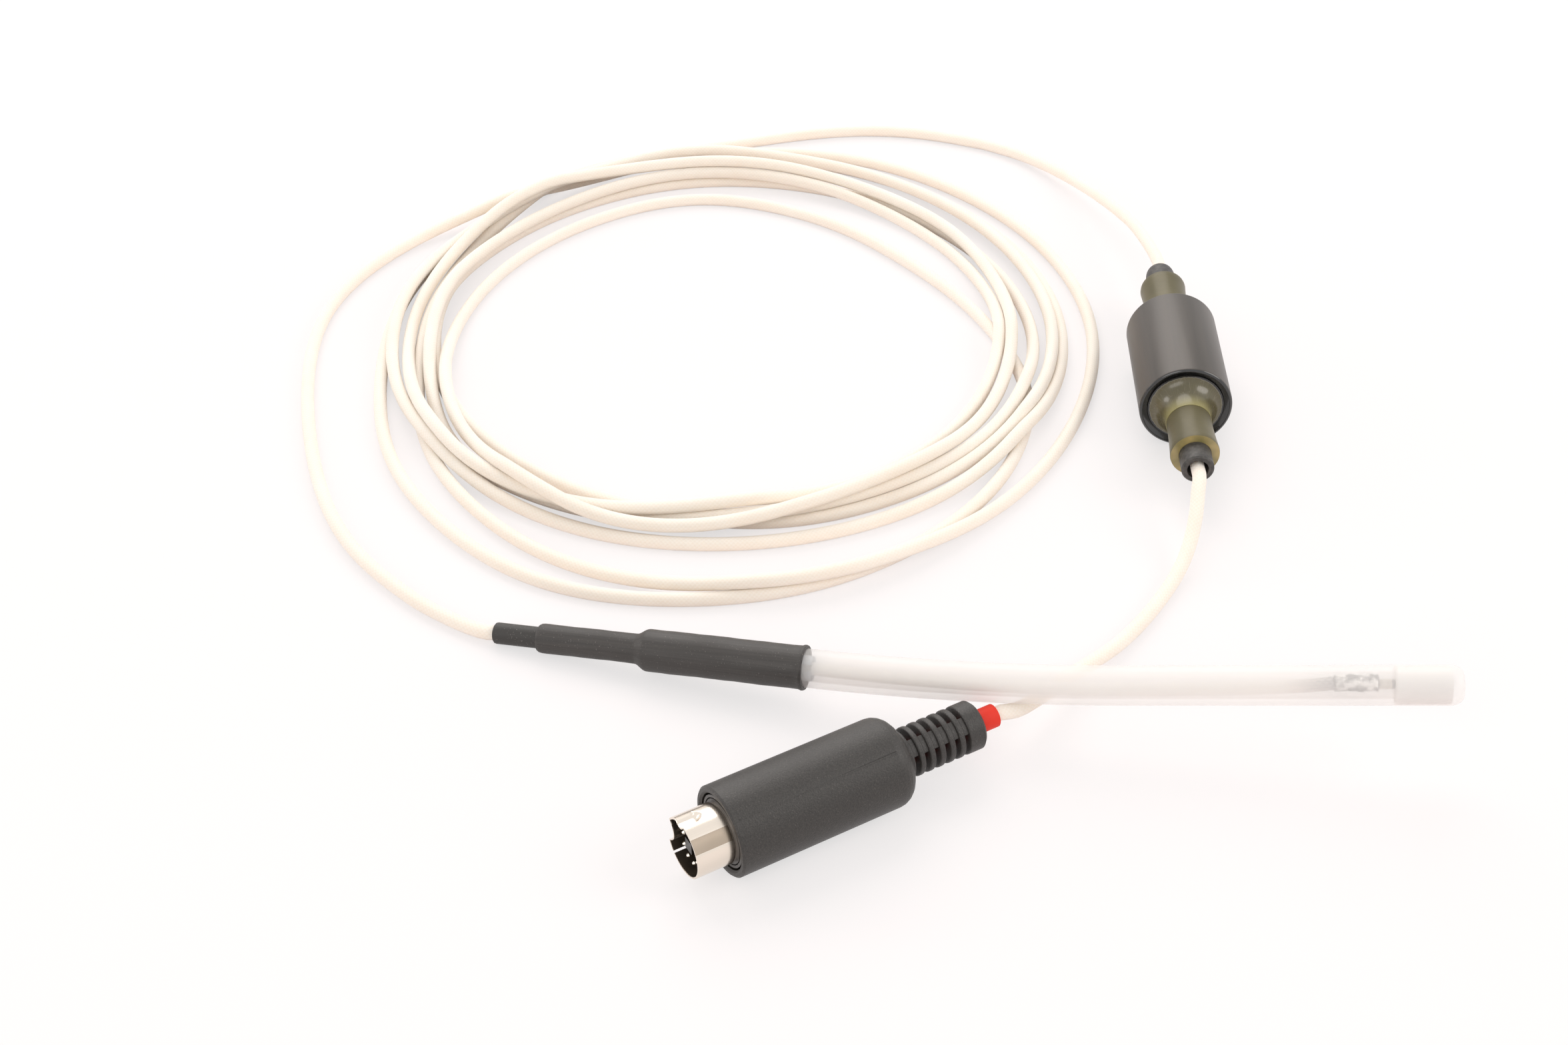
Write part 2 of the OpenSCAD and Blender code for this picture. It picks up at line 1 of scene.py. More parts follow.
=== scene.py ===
# %% [markdown]
# # A temperature probe on a long woven cable
# The object is a soft clear tube with a sensing element in it, a handle of shrunk black
# sleeves, three metres of white woven cable, an in-line filter and a small round plug. The
# packed parts come first, as a fixed frame, and every piece made below takes its place from
# them. Blender's unit here is the metre, so one small factor turns millimetres into metres.

# %% Load the frame
import math

import bmesh
import bpy
import numpy as np
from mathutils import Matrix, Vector


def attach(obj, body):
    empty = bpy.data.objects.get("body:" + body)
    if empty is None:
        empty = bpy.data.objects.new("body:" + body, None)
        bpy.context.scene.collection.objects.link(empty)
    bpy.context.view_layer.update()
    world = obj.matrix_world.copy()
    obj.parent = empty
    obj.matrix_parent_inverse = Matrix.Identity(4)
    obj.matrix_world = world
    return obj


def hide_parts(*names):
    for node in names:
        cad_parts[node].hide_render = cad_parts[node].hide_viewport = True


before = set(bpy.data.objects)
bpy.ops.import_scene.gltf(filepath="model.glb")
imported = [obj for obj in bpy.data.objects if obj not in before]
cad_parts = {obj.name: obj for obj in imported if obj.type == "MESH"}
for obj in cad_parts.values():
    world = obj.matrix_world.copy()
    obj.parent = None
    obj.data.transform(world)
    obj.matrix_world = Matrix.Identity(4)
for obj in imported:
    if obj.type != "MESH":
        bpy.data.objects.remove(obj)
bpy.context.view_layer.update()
MM = 0.001
FULL_TURN = 2 * math.pi

# %% [markdown]
# ## Camera
# The probe lies on a table and is seen from the front and above. A camera looks along its own
# -Z, so a turn about X tips it down from the horizon and a turn about Z swings it round. A
# constraint could aim it at a target, but two angles say plainly how steep the view is.

# %% Camera
CAMERA_PLACE = (-1.2 * MM, -234 * MM, 220.7 * MM)
CAMERA_DOWN = 38.48
CAMERA_SWING = 6.1
FOCAL_PIXELS = 3100
IMAGE_PIXELS = 2352
SENSOR_WIDTH = 36

camera_data = bpy.data.cameras.new("camera")
camera_data.sensor_width = SENSOR_WIDTH
camera_data.lens = SENSOR_WIDTH * FOCAL_PIXELS / IMAGE_PIXELS
camera_data.clip_start = 0.01
camera = bpy.data.objects.new("camera", camera_data)
camera.location = CAMERA_PLACE
camera.rotation_euler = (math.radians(90 - CAMERA_DOWN), 0, math.radians(CAMERA_SWING))
bpy.context.scene.collection.objects.link(camera)
bpy.context.scene.camera = camera
print("lens:", round(camera_data.lens, 2))

# %% [markdown]
# ## Writing shaders as sums
# A material is a graph of nodes, and a sum of a few terms already takes a handful of them. It
# could be wired up one link at a time. Here a small class stands for a node's output and
# takes the usual operators, so that an expression such as 0.3 + cloud * 0.1 adds its nodes.

# %% A node's output that can stand in a sum
def operator(operation, swapped=False):
    """A way for a wire to take another value: it adds the maths node that does it."""
    def act(self, other=0.0):
        values = {0: other, 1: self} if swapped else {0: self, 1: other}
        return self.board.add("ShaderNodeMath", values, operation=operation)
    return act


class Wire:
    """The output of a shader node. It goes into a sum like a number."""

    def __init__(self, board, socket):
        self.board = board
        self.socket = socket

    __add__ = operator("ADD")
    __radd__ = operator("ADD", swapped=True)
    __sub__ = operator("SUBTRACT")
    __rsub__ = operator("SUBTRACT", swapped=True)
    __mul__ = operator("MULTIPLY")
    __rmul__ = operator("MULTIPLY", swapped=True)
    __truediv__ = operator("DIVIDE")
    __pow__ = operator("POWER")
    sine = operator("SINE")
    cosine = operator("COSINE")

    def clamped(self):
        return self.board.add("ShaderNodeClamp", {"Value": self})


print("a wire takes + - * / and **, a sine, a cosine and a clamp")

# %% The board that nodes are added to
def opaque(colour):
    """A plain colour of three numbers gets its fourth, and a wire stays as it is."""
    return colour if isinstance(colour, Wire) else (*colour[:3], 1.0)


class Board:
    """The nodes of one material, world or Geometry Nodes tree."""

    def __init__(self, tree):
        self.tree = tree
        tree.nodes.clear()

    def add(self, kind, sockets=None, output=0, **settings):
        """A node of one kind, with the values or wires that it takes, and its settings."""
        node = self.tree.nodes.new(kind)
        for name, value in settings.items():
            setattr(node, name, value)
        for name, value in (sockets or {}).items():
            if isinstance(value, Wire):
                self.tree.links.new(value.socket, node.inputs[name])
            else:
                node.inputs[name].default_value = value
        return Wire(self, node.outputs[output]) if node.outputs else None

    def blend(self, share, first, second):
        """Mix two colours: share 0 gives the first and 1 the second."""
        return self.add("ShaderNodeMix", {0: share, 6: opaque(first), 7: opaque(second)},
                        output=2, data_type="RGBA")

    def split(self, vector):
        node = self.add("ShaderNodeSeparateXYZ", {0: vector}).socket.node
        return [Wire(self, socket) for socket in node.outputs]

    def unrolled(self):
        """Turn round a turned piece and travel along it, from its UV map."""
        return self.split(self.add("ShaderNodeTexCoord", output="UV"))[:2]

    def noise(self, scale, detail=3.0, roughness=0.5, vector=None):
        if vector is None:
            vector = self.add("ShaderNodeTexCoord", output="Object")
        return self.add("ShaderNodeTexNoise", {
            "Vector": vector, "Scale": scale, "Detail": detail, "Roughness": roughness})

    def along_piece(self, round_scale, long_scale):
        """A place for noise on a turned piece: its scales round it and along it differ."""
        turn, travel = self.unrolled()
        angle = turn * FULL_TURN
        return self.add("ShaderNodeCombineXYZ", {
            0: angle.cosine() * round_scale, 1: angle.sine() * round_scale,
            2: travel * long_scale})

    def specks(self, scale, level):
        """1 on small scattered specks and 0 between them. A higher level leaves fewer."""
        return ((self.noise(scale, detail=1.0) - level) * 14.0).clamped()

    def bump(self, height, depth, strength):
        return self.add("ShaderNodeBump", {
            "Height": height, "Distance": depth, "Strength": strength})

    def rays(self, *kinds):
        """1 for rays of the named kinds and 0 for all others."""
        outputs = self.add("ShaderNodeLightPath").socket.node.outputs
        total = Wire(self, outputs[kinds[0]])
        for kind in kinds[1:]:
            total = total + Wire(self, outputs[kind])
        return total.clamped()


print("a board can add:", [name for name in vars(Board) if not name.startswith("_")])

# %% Finishes
finishes = {}


def finish(name):
    """A new material, whose nodes go on the board that comes back."""
    material = bpy.data.materials.new(name)
    material.use_nodes = True
    finishes[name] = material
    print("finish:", name)
    return Board(material.node_tree)


def coat(board, sockets):
    """Join a Principled shader with these sockets to a board's output."""
    shader = board.add("ShaderNodeBsdfPrincipled", sockets)
    board.add("ShaderNodeOutputMaterial", {"Surface": shader})


def mottled(name, scale, first, second, sockets, detail=3.0, contrast=None, grain=None):
    """A finish that wanders between two colours.

    Contrast is a factor on the noise and what is then taken off. Grain is a bump's noise
    scale, depth and strength.
    """
    board = finish(name)
    share = board.noise(scale, detail=detail)
    if contrast is not None:
        share = (share * contrast[0] - contrast[1]).clamped()
    sockets = {"Base Color": board.blend(share, first, second), **sockets}
    if grain is not None:
        grain_scale, depth, strength = grain
        sockets["Normal"] = board.bump(board.noise(grain_scale), depth, strength)
    coat(board, sockets)


print("finishes can be made")

# %% [markdown]
# ## Floor and light
# The photo was taken on white paper under soft lamps. A white floor under strong lamps would
# do it, but then the pale cable would burn out too. So the lamps stay at a plain level, and
# the floor and the world look white because part of what camera and mirror rays meet there is
# emission. The rest of the floor's colour still takes the soft shadows.

# %% Floor
FLOOR_SIZE = 3.0
FLOOR_COLOUR = (0.93, 0.85, 0.84)
FLOOR_LIFT = 0.62
WHITE = (1, 1, 1)

half = FLOOR_SIZE / 2
floor_mesh = bpy.data.meshes.new("floor")
floor_mesh.from_pydata(
    [(-half, -half, 0), (half, -half, 0), (half, half, 0), (-half, half, 0)], [], [(0, 1, 2, 3)])
floor = bpy.data.objects.new("floor", floor_mesh)
bpy.context.scene.collection.objects.link(floor)

board = finish("floor_paper")
paper = board.add("ShaderNodeBsdfDiffuse", {"Color": opaque(FLOOR_COLOUR)})
glow = board.add("ShaderNodeEmission", {"Color": opaque(WHITE), "Strength": 1.0})
seen = board.rays("Is Camera Ray", "Is Glossy Ray", "Is Transmission Ray")
sheet = board.add("ShaderNodeMixShader", {0: seen * FLOOR_LIFT, 1: paper, 2: glow})
board.add("ShaderNodeOutputMaterial", {"Surface": sheet})
floor_mesh.materials.append(finishes["floor_paper"])

# %% World and lamps
WORLD_LIGHT = 0.60
LAMP_COLOUR = (1.0, 0.955, 0.92)
MIDDLE = (-0.02, 0.06, 0.0)
# Each lamp: its name, its place, its width in metres and its power in watts
LAMPS = [
    ("softbox_back", (-0.25, 0.75, 0.75), 1.0, 6.2),
    ("softbox_right", (0.8, 0.0, 0.6), 0.6, 2.9),
    ("softbox_front", (-0.3, -0.7, 0.6), 0.6, 1.9),
    ("softbox_left", (-0.9, 0.15, 0.22), 0.35, 1.0),
]

world = bpy.data.worlds.new("studio")
world.use_nodes = True
bpy.context.scene.world = world
board = Board(world.node_tree)
strength = WORLD_LIGHT + (1 - WORLD_LIGHT) * board.rays("Is Camera Ray", "Is Glossy Ray")
sky = board.add("ShaderNodeBackground", {"Color": opaque(WHITE), "Strength": strength})
board.add("ShaderNodeOutputWorld", {"Surface": sky})

for name, place, width, power in LAMPS:
    data = bpy.data.lights.new(name, "AREA")
    data.shape = "DISK"
    data.size = width
    data.energy = power
    data.color = LAMP_COLOUR
    lamp = bpy.data.objects.new(name, data)
    lamp.location = place
    lamp.rotation_euler = (Vector(MIDDLE) - Vector(place)).to_track_quat("-Z", "Y").to_euler()
    bpy.context.scene.collection.objects.link(lamp)
print("lamps:", len(bpy.data.lights))

# %% [markdown]
# ## The cable's route
# The cable is one fixed length of limp woven cord. It leaves the small sleeve, runs round the
# coil's left side, makes its turns, comes out under the far side and climbs to the filter. A
# rigid body chain could be dropped to find such a lie, but it would not be this one. So the
# free stretches are lists of points, and the turns are distances from the coil's middle, one
# row for each turn, which a loop turns into points.

# %% Points of the route
CABLE_D = 2.4 * MM
# Height of the cable's middle where it lies on the floor
REST_HEIGHT = 1.3


def flat(*places):
    """Points on the floor, from their places seen from above."""
    return [(x, y, REST_HEIGHT) for x, y in places]


LEAD_ROUTE = flat(
    (-80, 9.2), (-85.5, 12.2), (-91, 15.8), (-97, 20.4), (-102.6, 26), (-107.4, 32.8),
    (-111.4, 40), (-115, 48), (-118.5, 57), (-121.8, 67), (-124.4, 76.5), (-126.2, 86),
    (-127, 95), (-126, 104), (-123, 113.5), (-118, 122.8), (-111.5, 130.8))
RETURN_ROUTE = flat(
    (-90, 153), (-84, 159.5), (-77, 164.2), (-70, 167.4), (-62, 170.6), (-54, 174),
    (-46, 177.8), (-37, 181), (-27.5, 183.4), (-18, 183.6), (-9, 182), (-0.5, 179))
RETURN_ROUTE += [(6.8, 175, 1.5), (12.4, 170, 2), (16.8, 164.4, 2.8), (20.6, 158.4, 3.8),
                 (24.2, 151.6, 5), (27.8, 143.8, 6.3), (31, 135.6, 7.4)]
TAIL_ROUTE = [(39, 48.6, 7.5), (38.6, 44, 5.8), (37.6, 39, 3.6), (36, 34.4, 2)]
TAIL_ROUTE += flat((33.4, 28.6), (29.4, 21))
TAIL_ROUTE += [(25.4, 14.8, 1.5), (21.4, 9.4, 2.4), (17.4, 4, 3.7), (14.2, -0.8, 4.8),
               (12, -4, 5.6), (9.6, -6.6, 6)]
# Middle of the coil, and each turn's distances from it. The first is towards the far left,
# and each one that follows lies a twelfth of a turn further on, clockwise from above
COIL_MIDDLE = (-47, 95)
FIRST_DIRECTION = 135
COIL_TURNS = [
    (69, 74, 77, 74, 71, 69, 71, 75, 72, 65, 59, 61),
    (67, 73, 72, 68, 65, 63, 62, 62, 63, 63, 64, 66),
    (65, 71, 70, 66, 63, 61, 58, 57, 54, 54, 56, 59),
    (61, 63, 62, 60, 59, 58, 56, 57, 58, 60, 57, 58),
    (60, 63, 60, 56, 53, 51, 51, 55, 59, 62, 61, 63),
    (64, 64, 62, 59, 55, 54, 55, 59, 62, 58, 54, 53),
    (54, 56, 50, 46, 50, 60, 68, 75, 78, 72, 66, 67),
]
LAST_DISTANCE = 71
print("points of the free stretches:", len(LEAD_ROUTE) + len(RETURN_ROUTE) + len(TAIL_ROUTE),
      "and turns of the coil:", len(COIL_TURNS))

# %% Ends of the cable, taken from the parts
# A rod's points this near to one end belong to that end's rim
RIM_DEPTH = 0.1 * MM


def node_points(node):
    """A node's corner points, in metres."""
    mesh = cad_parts[node].data
    points = np.empty(len(mesh.vertices) * 3)
    mesh.vertices.foreach_get("co", points)
    return points.reshape(-1, 3)


def rod_ends(node, axis):
    """The two ends of a straight round piece, in their order along an axis of the frame."""
    points = node_points(node)
    middle = points.mean(axis=0)
    along = np.linalg.svd(points - middle, full_matrices=False)[2][0]
    reach = (points - middle) @ along
    ends = []
    for limit in (reach.min(), reach.max()):
        rim = points[np.abs(reach - limit) < RIM_DEPTH]
        ends.append((rim.min(axis=0) + rim.max(axis=0)) / 2)
    return sorted(ends, key=lambda end: end[axis])


def unit(vector):
    return vector / np.linalg.norm(vector)


probe_exit, probe_inner = rod_ends("probe_cable", 0)
filter_front, filter_back = rod_ends("filter_cable", 1)
plug_inner, plug_exit = rod_ends("plug_cable", 0)
probe_way = unit(probe_exit - probe_inner)
filter_way = unit(filter_back - filter_front)
plug_way = unit(plug_exit - plug_inner)
print("cable leaves the probe at", np.round(probe_exit / MM, 1), "mm")

# %% [markdown]
# ## Paths
# Nearly everything here is round and follows a line: the cable, the clear tube, the sleeves,
# the filter and the plug. Blender's own curves with a bevel could draw them, but they give
# little say over each ring and its UV map. So one small class keeps a line as close points,
# with its reach along it, and gives two directions across it that turn as little as they can.

# %% Smooth lines
SHARES = 24


def curve_through(points, step):
    """Points a step apart along a smooth curve that passes through the given ones."""
    points = np.asarray(points, dtype=float)
    ends = np.vstack([2 * points[0] - points[1], points, 2 * points[-1] - points[-2]])
    share = np.linspace(0, 1, SHARES, endpoint=False)[:, None]
    pieces = [
        0.5 * (2 * a + (b - before) * share + (2 * before - 5 * a + 4 * b - after) * share ** 2
               + (3 * a - before - 3 * b + after) * share ** 3)
        for before, a, b, after in zip(ends, ends[1:], ends[2:], ends[3:])
    ]
    dense = np.vstack(pieces + [points[-1:]])
    reach = reach_along(dense)
    wanted = np.linspace(0, reach[-1], max(2, round(reach[-1] / step)) + 1)
    return np.column_stack([np.interp(wanted, reach, dense[:, k]) for k in range(3)])


def reach_along(points):
    """How far along a line each of its points lies."""
    steps = np.linalg.norm(np.diff(points, axis=0), axis=1)
    return np.concatenate([[0], np.cumsum(steps)])


print("a line gets", SHARES, "points between two given ones")

# %% Paths
class Path:
    """A line through points, in metres. Its first point lies at reach start, in millimetres."""

    def __init__(self, points, start=0.0):
        self.points = np.asarray(points, dtype=float)
        self.reach = reach_along(self.points) / MM + start
        ahead = np.gradient(self.points, axis=0)
        self.ahead = ahead / np.linalg.norm(ahead, axis=1)[:, None]
        side = unit(np.cross(self.ahead[0], (0, 0, 1)))
        sides = []
        for way in self.ahead:
            side = unit(side - way * (side @ way))
            sides.append(side)
        self.side = np.array(sides)
        self.up = np.cross(self.side, self.ahead)

    def at(self, values, reach):
        """What the path's points, sides or ups are at some reaches."""
        return np.column_stack([np.interp(reach, self.reach, values[:, k]) for k in range(3)])


def straight(place, way, start, end):
    """A straight path through a place, along a way, from one reach to another in millimetres."""
    ends = [place + way * start * MM, place + way * end * MM]
    return Path(np.linspace(ends[0], ends[1], 3), start)


print("paths are ready")

# %% [markdown]
# ## Turned pieces
# A turned piece is a profile swept round a path, like work on a lathe whose axis may bend. A
# Screw modifier turns a profile too, but only about a straight axis. Here each point of the
# profile becomes a ring of corners, and faces join the rings. A piece may also name a function
# that changes its radius by place and angle, and that makes its folds, waves or dents.

# %% Rings of a turned piece
def rings_along(path, profile, angle, swell=None):
    """A ring for each point of a profile, with a corner at each angle, in metres."""
    reach, radius = profile[:, 0], profile[:, 1]
    radii = np.repeat(radius[:, None], len(angle), axis=1)
    if swell is not None:
        radii = np.where(radii > 0, swell(reach[:, None], angle[None], radii), 0)
    spokes = (np.cos(angle)[None, :, None] * path.at(path.side, reach)[:, None]
              + np.sin(angle)[None, :, None] * path.at(path.up, reach)[:, None])
    return path.at(path.points, reach)[:, None] + radii[..., None] * MM * spokes


print("rings can be made")

# %% Turned pieces
SHARP_ANGLE = math.radians(35)
# Room between two fitted pieces, in mm
FIT = 0.02


def as_object(name, mesh):
    """The object of a finished mesh. Its edges are sharp where two faces meet steeply."""
    bmesh.ops.recalc_face_normals(mesh, faces=mesh.faces)
    data = bpy.data.meshes.new(name)
    mesh.to_mesh(data)
    mesh.free()
    data.set_sharp_from_angle(angle=SHARP_ANGLE)
    piece = bpy.data.objects.new(name, data)
    bpy.context.scene.collection.objects.link(piece)
    return piece


def turned(name, path, profile, sides=32, swell=None, weave=CABLE_D / 2, slit=None):
    """A round piece along a path, from a profile of (reach, radius) points in mm.

    A profile that starts and ends on the path, or ends where it began, gives a closed skin.
    swell changes the radius by reach and angle, and slit leaves an open strip between two
    angles in degrees. The UV map runs from 0 to 1 round the piece, and its other way has the
    same scale on a piece of radius weave.
    """
    profile = np.asarray(profile, dtype=float)
    angle = np.arange(sides) / sides * FULL_TURN
    if slit is not None:
        angle = np.radians(np.linspace(slit[1], slit[0] + 360, sides))
    rings = rings_along(path, profile, angle, swell)
    travel = reach_along(profile) * MM / (FULL_TURN * weave)
    mesh = bmesh.new()
    corners = []
    closed = np.allclose(profile[0], profile[-1])
    for ring, size in zip(rings[:-1] if closed else rings, profile[:, 1]):
        made = [mesh.verts.new(p) for p in (ring if size > 0 else ring[:1])]
        corners.append(made if size > 0 else made * sides)
    if closed:
        corners.append(corners[0])
    layer = mesh.loops.layers.uv.new("round")
    for row in range(len(corners) - 1):
        for column in range(sides if slit is None else sides - 1):
            beside = (column + 1) % sides
            # A pole's corners are one and the same, so a face keeps each corner once
            places_on_map = {}
            for v, n, u in ((row, column, column), (row + 1, column, column),
                            (row + 1, beside, column + 1), (row, beside, column + 1)):
                places_on_map.setdefault(corners[v][n], (u / sides, travel[v]))
            if len(places_on_map) < 3:
                continue
            face = mesh.faces.new(list(places_on_map))
            face.smooth = True
            for loop, place in zip(face.loops, places_on_map.values()):
                loop[layer].uv = place
    if slit is not None:
        mesh.faces.new([ring[0] for ring in corners[:-1]])
        mesh.faces.new([ring[-1] for ring in corners[:-1]])
    return as_object(name, mesh)


print("turned pieces can be made")

# %% Dressing a piece
def dress(piece, material, slot_name, *nodes):
    """Give a new piece its finish and its body, and hide the packed nodes that it stands for."""
    piece.data.materials.clear()
    piece.data.materials.append(finishes[material])
    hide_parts(*nodes)
    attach(piece, "root")
    print(piece.name, "faces:", len(piece.data.polygons))


def mark_faces(piece, material, place, way, chosen):
    """Give a piece one more finish, on the faces that a test chooses.

    The test takes a face, its reach from a place along a way, and its offset square to it.
    """
    piece.data.materials.append(finishes[material])
    for face in piece.data.polygons:
        offset = (np.array(face.center) - place) / MM
        reach = offset @ way
        if chosen(face, reach, offset - way * reach):
            face.material_index = len(piece.data.materials) - 1


def paint(material, *nodes):
    """Give packed nodes a better finish."""
    for node in nodes:
        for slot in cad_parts[node].material_slots:
            slot.material = finishes[material]


print("pieces can be dressed, marked and painted")

# %% [markdown]
# ## Laying the coil
# Seen from above, the turns cross each other many times. A real cord settles under its own
# weight: each strand lies on the floor or on strands that were laid before it, and it is too
# stiff to kink. A soft body simulation could do this, but its strands creep apart. So only
# the heights are worked out. In each of many rounds every point sinks a little, is smoothed
# with its neighbours and is lifted clear of each lower strand that it crosses. The last
# rounds only smooth, so the humps stay long and low. The turns nearest the filter end were
# laid first.

# %% Turns of the coil
directions = len(COIL_TURNS[0])
distances = np.append(np.ravel(COIL_TURNS), LAST_DISTANCE)
turned_by = math.radians(FIRST_DIRECTION) - np.arange(len(distances)) * FULL_TURN / directions
coil_points = flat(*zip(COIL_MIDDLE[0] + distances * np.cos(turned_by),
                        COIL_MIDDLE[1] + distances * np.sin(turned_by)))
print("coil points:", len(coil_points))

# %% Main cable seen from above
LAY_STEP = 1.5
PLAN_ROUNDS = 50
# Points at the cable's two ends that stay where the parts hold them
HELD_FRONT = 12
HELD_BACK = 52
cable_mm = CABLE_D / MM

lead_stretch = [probe_exit / MM, (probe_exit + probe_way * CABLE_D) / MM] + LEAD_ROUTE
return_stretch = RETURN_ROUTE + [(filter_back + filter_way * 3 * CABLE_D) / MM, filter_back / MM]
cable = curve_through(lead_stretch + coil_points + return_stretch, LAY_STEP)
for _ in range(PLAN_ROUNDS):
    eased = 0.5 * cable[1:-1, :2] + 0.25 * (cable[:-2, :2] + cable[2:, :2])
    cable[HELD_FRONT:-HELD_BACK, :2] = eased[HELD_FRONT - 1:-HELD_BACK + 1]
from_start = reach_along(cable)
print("cable length seen from above:", round(from_start[-1] * MM, 3), "m")

# %% Crossings of the cable
GAP = 1.02
# Points nearer along the cable than this many gaps belong to one strand
SAME_STRAND = 4
# Length of the coil, counted back from its end, that was laid before the rest
LAID_FIRST = 300

# A point's rank says what it lies on: a lower rank was laid first
first_laid = reach_along(np.array(lead_stretch + coil_points))[-1] - LAID_FIRST
rank = np.where(from_start > first_laid, -from_start, from_start)

gap = cable_mm * GAP
apart = np.linalg.norm(cable[:, None, :2] - cable[None, :, :2], axis=2)
along = np.abs(from_start[:, None] - from_start[None])
over, under = np.nonzero(
    (apart < gap) & (along > SAME_STRAND * gap) & (rank[:, None] > rank[None]))
lift = np.sqrt(gap ** 2 - apart[over, under] ** 2)
print("points that lie on others:", len(set(over.tolist())))

# %% Heights of the cable
LAY_ROUNDS = 1500
SOFT_ROUNDS = 90
SINK = 0.006
FLOOR_Z = cable_mm / 2 + FIT
FIXED_FRONT = 4

held = np.zeros(len(cable), dtype=bool)
held[:FIXED_FRONT] = True
held[-HELD_BACK:] = True
height = cable[:, 2].copy()
for done in range(LAY_ROUNDS + SOFT_ROUNDS):
    wanted = height - (SINK if done < LAY_ROUNDS else 0)
    wanted[1:-1] = 0.5 * wanted[1:-1] + 0.25 * (wanted[:-2] + wanted[2:])
    wanted[2:-2] = (-wanted[:-4] + 4 * wanted[1:-3] + 10 * wanted[2:-2] + 4 * wanted[3:-1]
                    - wanted[4:]) / 16
    lowest = np.full(len(cable), FLOOR_Z)
    np.maximum.at(lowest, over, np.maximum(wanted, FLOOR_Z)[under] + lift)
    height = np.where(held, cable[:, 2], np.maximum(wanted, lowest))
cable[:, 2] = height
print("top of the cable at", round(height.max(), 2), "mm")

# %% [markdown]
# ## The woven cable
# The jacket of this cable is a braid of thin white yarn. As geometry it would be thousands of
# crossings too small to see, so the cable is a smooth round tube and its braid is a material.
# The pattern follows a UV map that runs once round the tube, so it stays the same through
# every bend. The main cable ends inside the filter's front grommet, where the tail begins.

# %% Braid material
def braid(name, light, shade, yarns, depth, rough, stain=None, stain_turns=1.0):
    """Yarns that wind both ways round and pass over and under each other.

    A stain darkens the piece from its start, and fades over a length given in the map's turns.
    """
    board = finish(name)
    u, v = board.unrolled()
    one = ((u + v) * yarns * FULL_TURN).sine() * 0.5 + 0.5
    other = ((u - v) * yarns * FULL_TURN).sine() * 0.5 + 0.5
    turn_over = (u * yarns * FULL_TURN).sine() * (v * yarns * FULL_TURN).sine() * 0.5 + 0.5
    height = turn_over * one + (1 - turn_over) * other
    worn = board.noise(90.0)
    fuzz = board.noise(2600.0, detail=2.0)
    colour = board.blend((height * 0.5 + worn * 0.7 - 0.1).clamped(), shade, light)
    if stain is not None:
        fade = (1 - v / stain_turns).clamped() * (1.3 - height * 0.6)
        colour = board.blend(fade.clamped(), colour, stain)
    normal = board.bump(height + fuzz * 0.5, depth, 0.55)
    coat(board, {
        "Base Color": colour, "Roughness": rough, "Normal": normal,
        "Sheen Weight": 0.25, "Sheen Roughness": 0.5, "Specular IOR Level": 0.3,
        "Subsurface Weight": 0.6, "Subsurface Radius": (1.0, 0.95, 0.9), "Subsurface Scale": 0.0015,
    })


braid("woven_jacket", (0.96, 0.895, 0.82), (0.89, 0.79, 0.68), 10, 0.00004, 0.75)
braid("woven_lead", (1.0, 0.97, 0.93), (0.88, 0.83, 0.78), 6, 0.0001, 0.8,
      stain=(0.30, 0.28, 0.29), stain_turns=1.3)

# %% Main cable and tail
# How far into the front grommet the cables meet, and into the plug the jacket runs, in mm
MOUTH_DEPTH = 3.0
STRIP_REACH = 8.0

mouth = filter_front + filter_way * MOUTH_DEPTH * MM
inside_filter = np.linspace(filter_back, mouth, 24)[1:]
cable_path = np.vstack([cable * MM, inside_filter])
tail_points = [mouth / MM, filter_front / MM, (filter_front - filter_way * CABLE_D) / MM]
tail_points += TAIL_ROUTE
tail_points += [(plug_exit + plug_way * CABLE_D / 2) / MM, plug_exit / MM]
tail_points += [(plug_exit - plug_way * STRIP_REACH * MM) / MM, plug_inner / MM]
tail_path = curve_through(tail_points, LAY_STEP) * MM


def cable_tube(name, points, *nodes):
    path = Path(points)
    profile = [(0, 0)] + [(reach, cable_mm / 2) for reach in path.reach] + [(path.reach[-1], 0)]
    tube = turned(name, path, profile, sides=16)
    dress(tube, "woven_jacket", "white_weave", *nodes)
    return tube


main_cable = cable_tube(
    "main_cable", cable_path, "cable_lead", "cable_coil", "cable_return", "filter_cable")
tail_cable = cable_tube("tail_cable", tail_path, "cable_tail", "plug_cable")
paint("woven_jacket", "probe_cable")

# %% [markdown]
# ## The clear tube
# The sensing end is a length of soft clear plastic tube with a bevelled closed end. It looks
# milky because light scatters in its wall. A shader could follow each ray through the wall,
# but that is slow and stays grainy. A wall that lets part of the light straight through, and
# shades the rest as a pale matt surface, shows the same: what lies inside is seen faintly.
# The round wall also magnifies its filling until it looks as wide as the tube, so the bore
# and the filling are made that wide here.

# %% Middle line of the probe
BEND_LENGTH = 48.5
END_WALL = 1.8

tip_back, tip_front = rod_ends("tip_filling", 0)
tip_way = unit(tip_front - tip_back)
handle_way = -probe_way
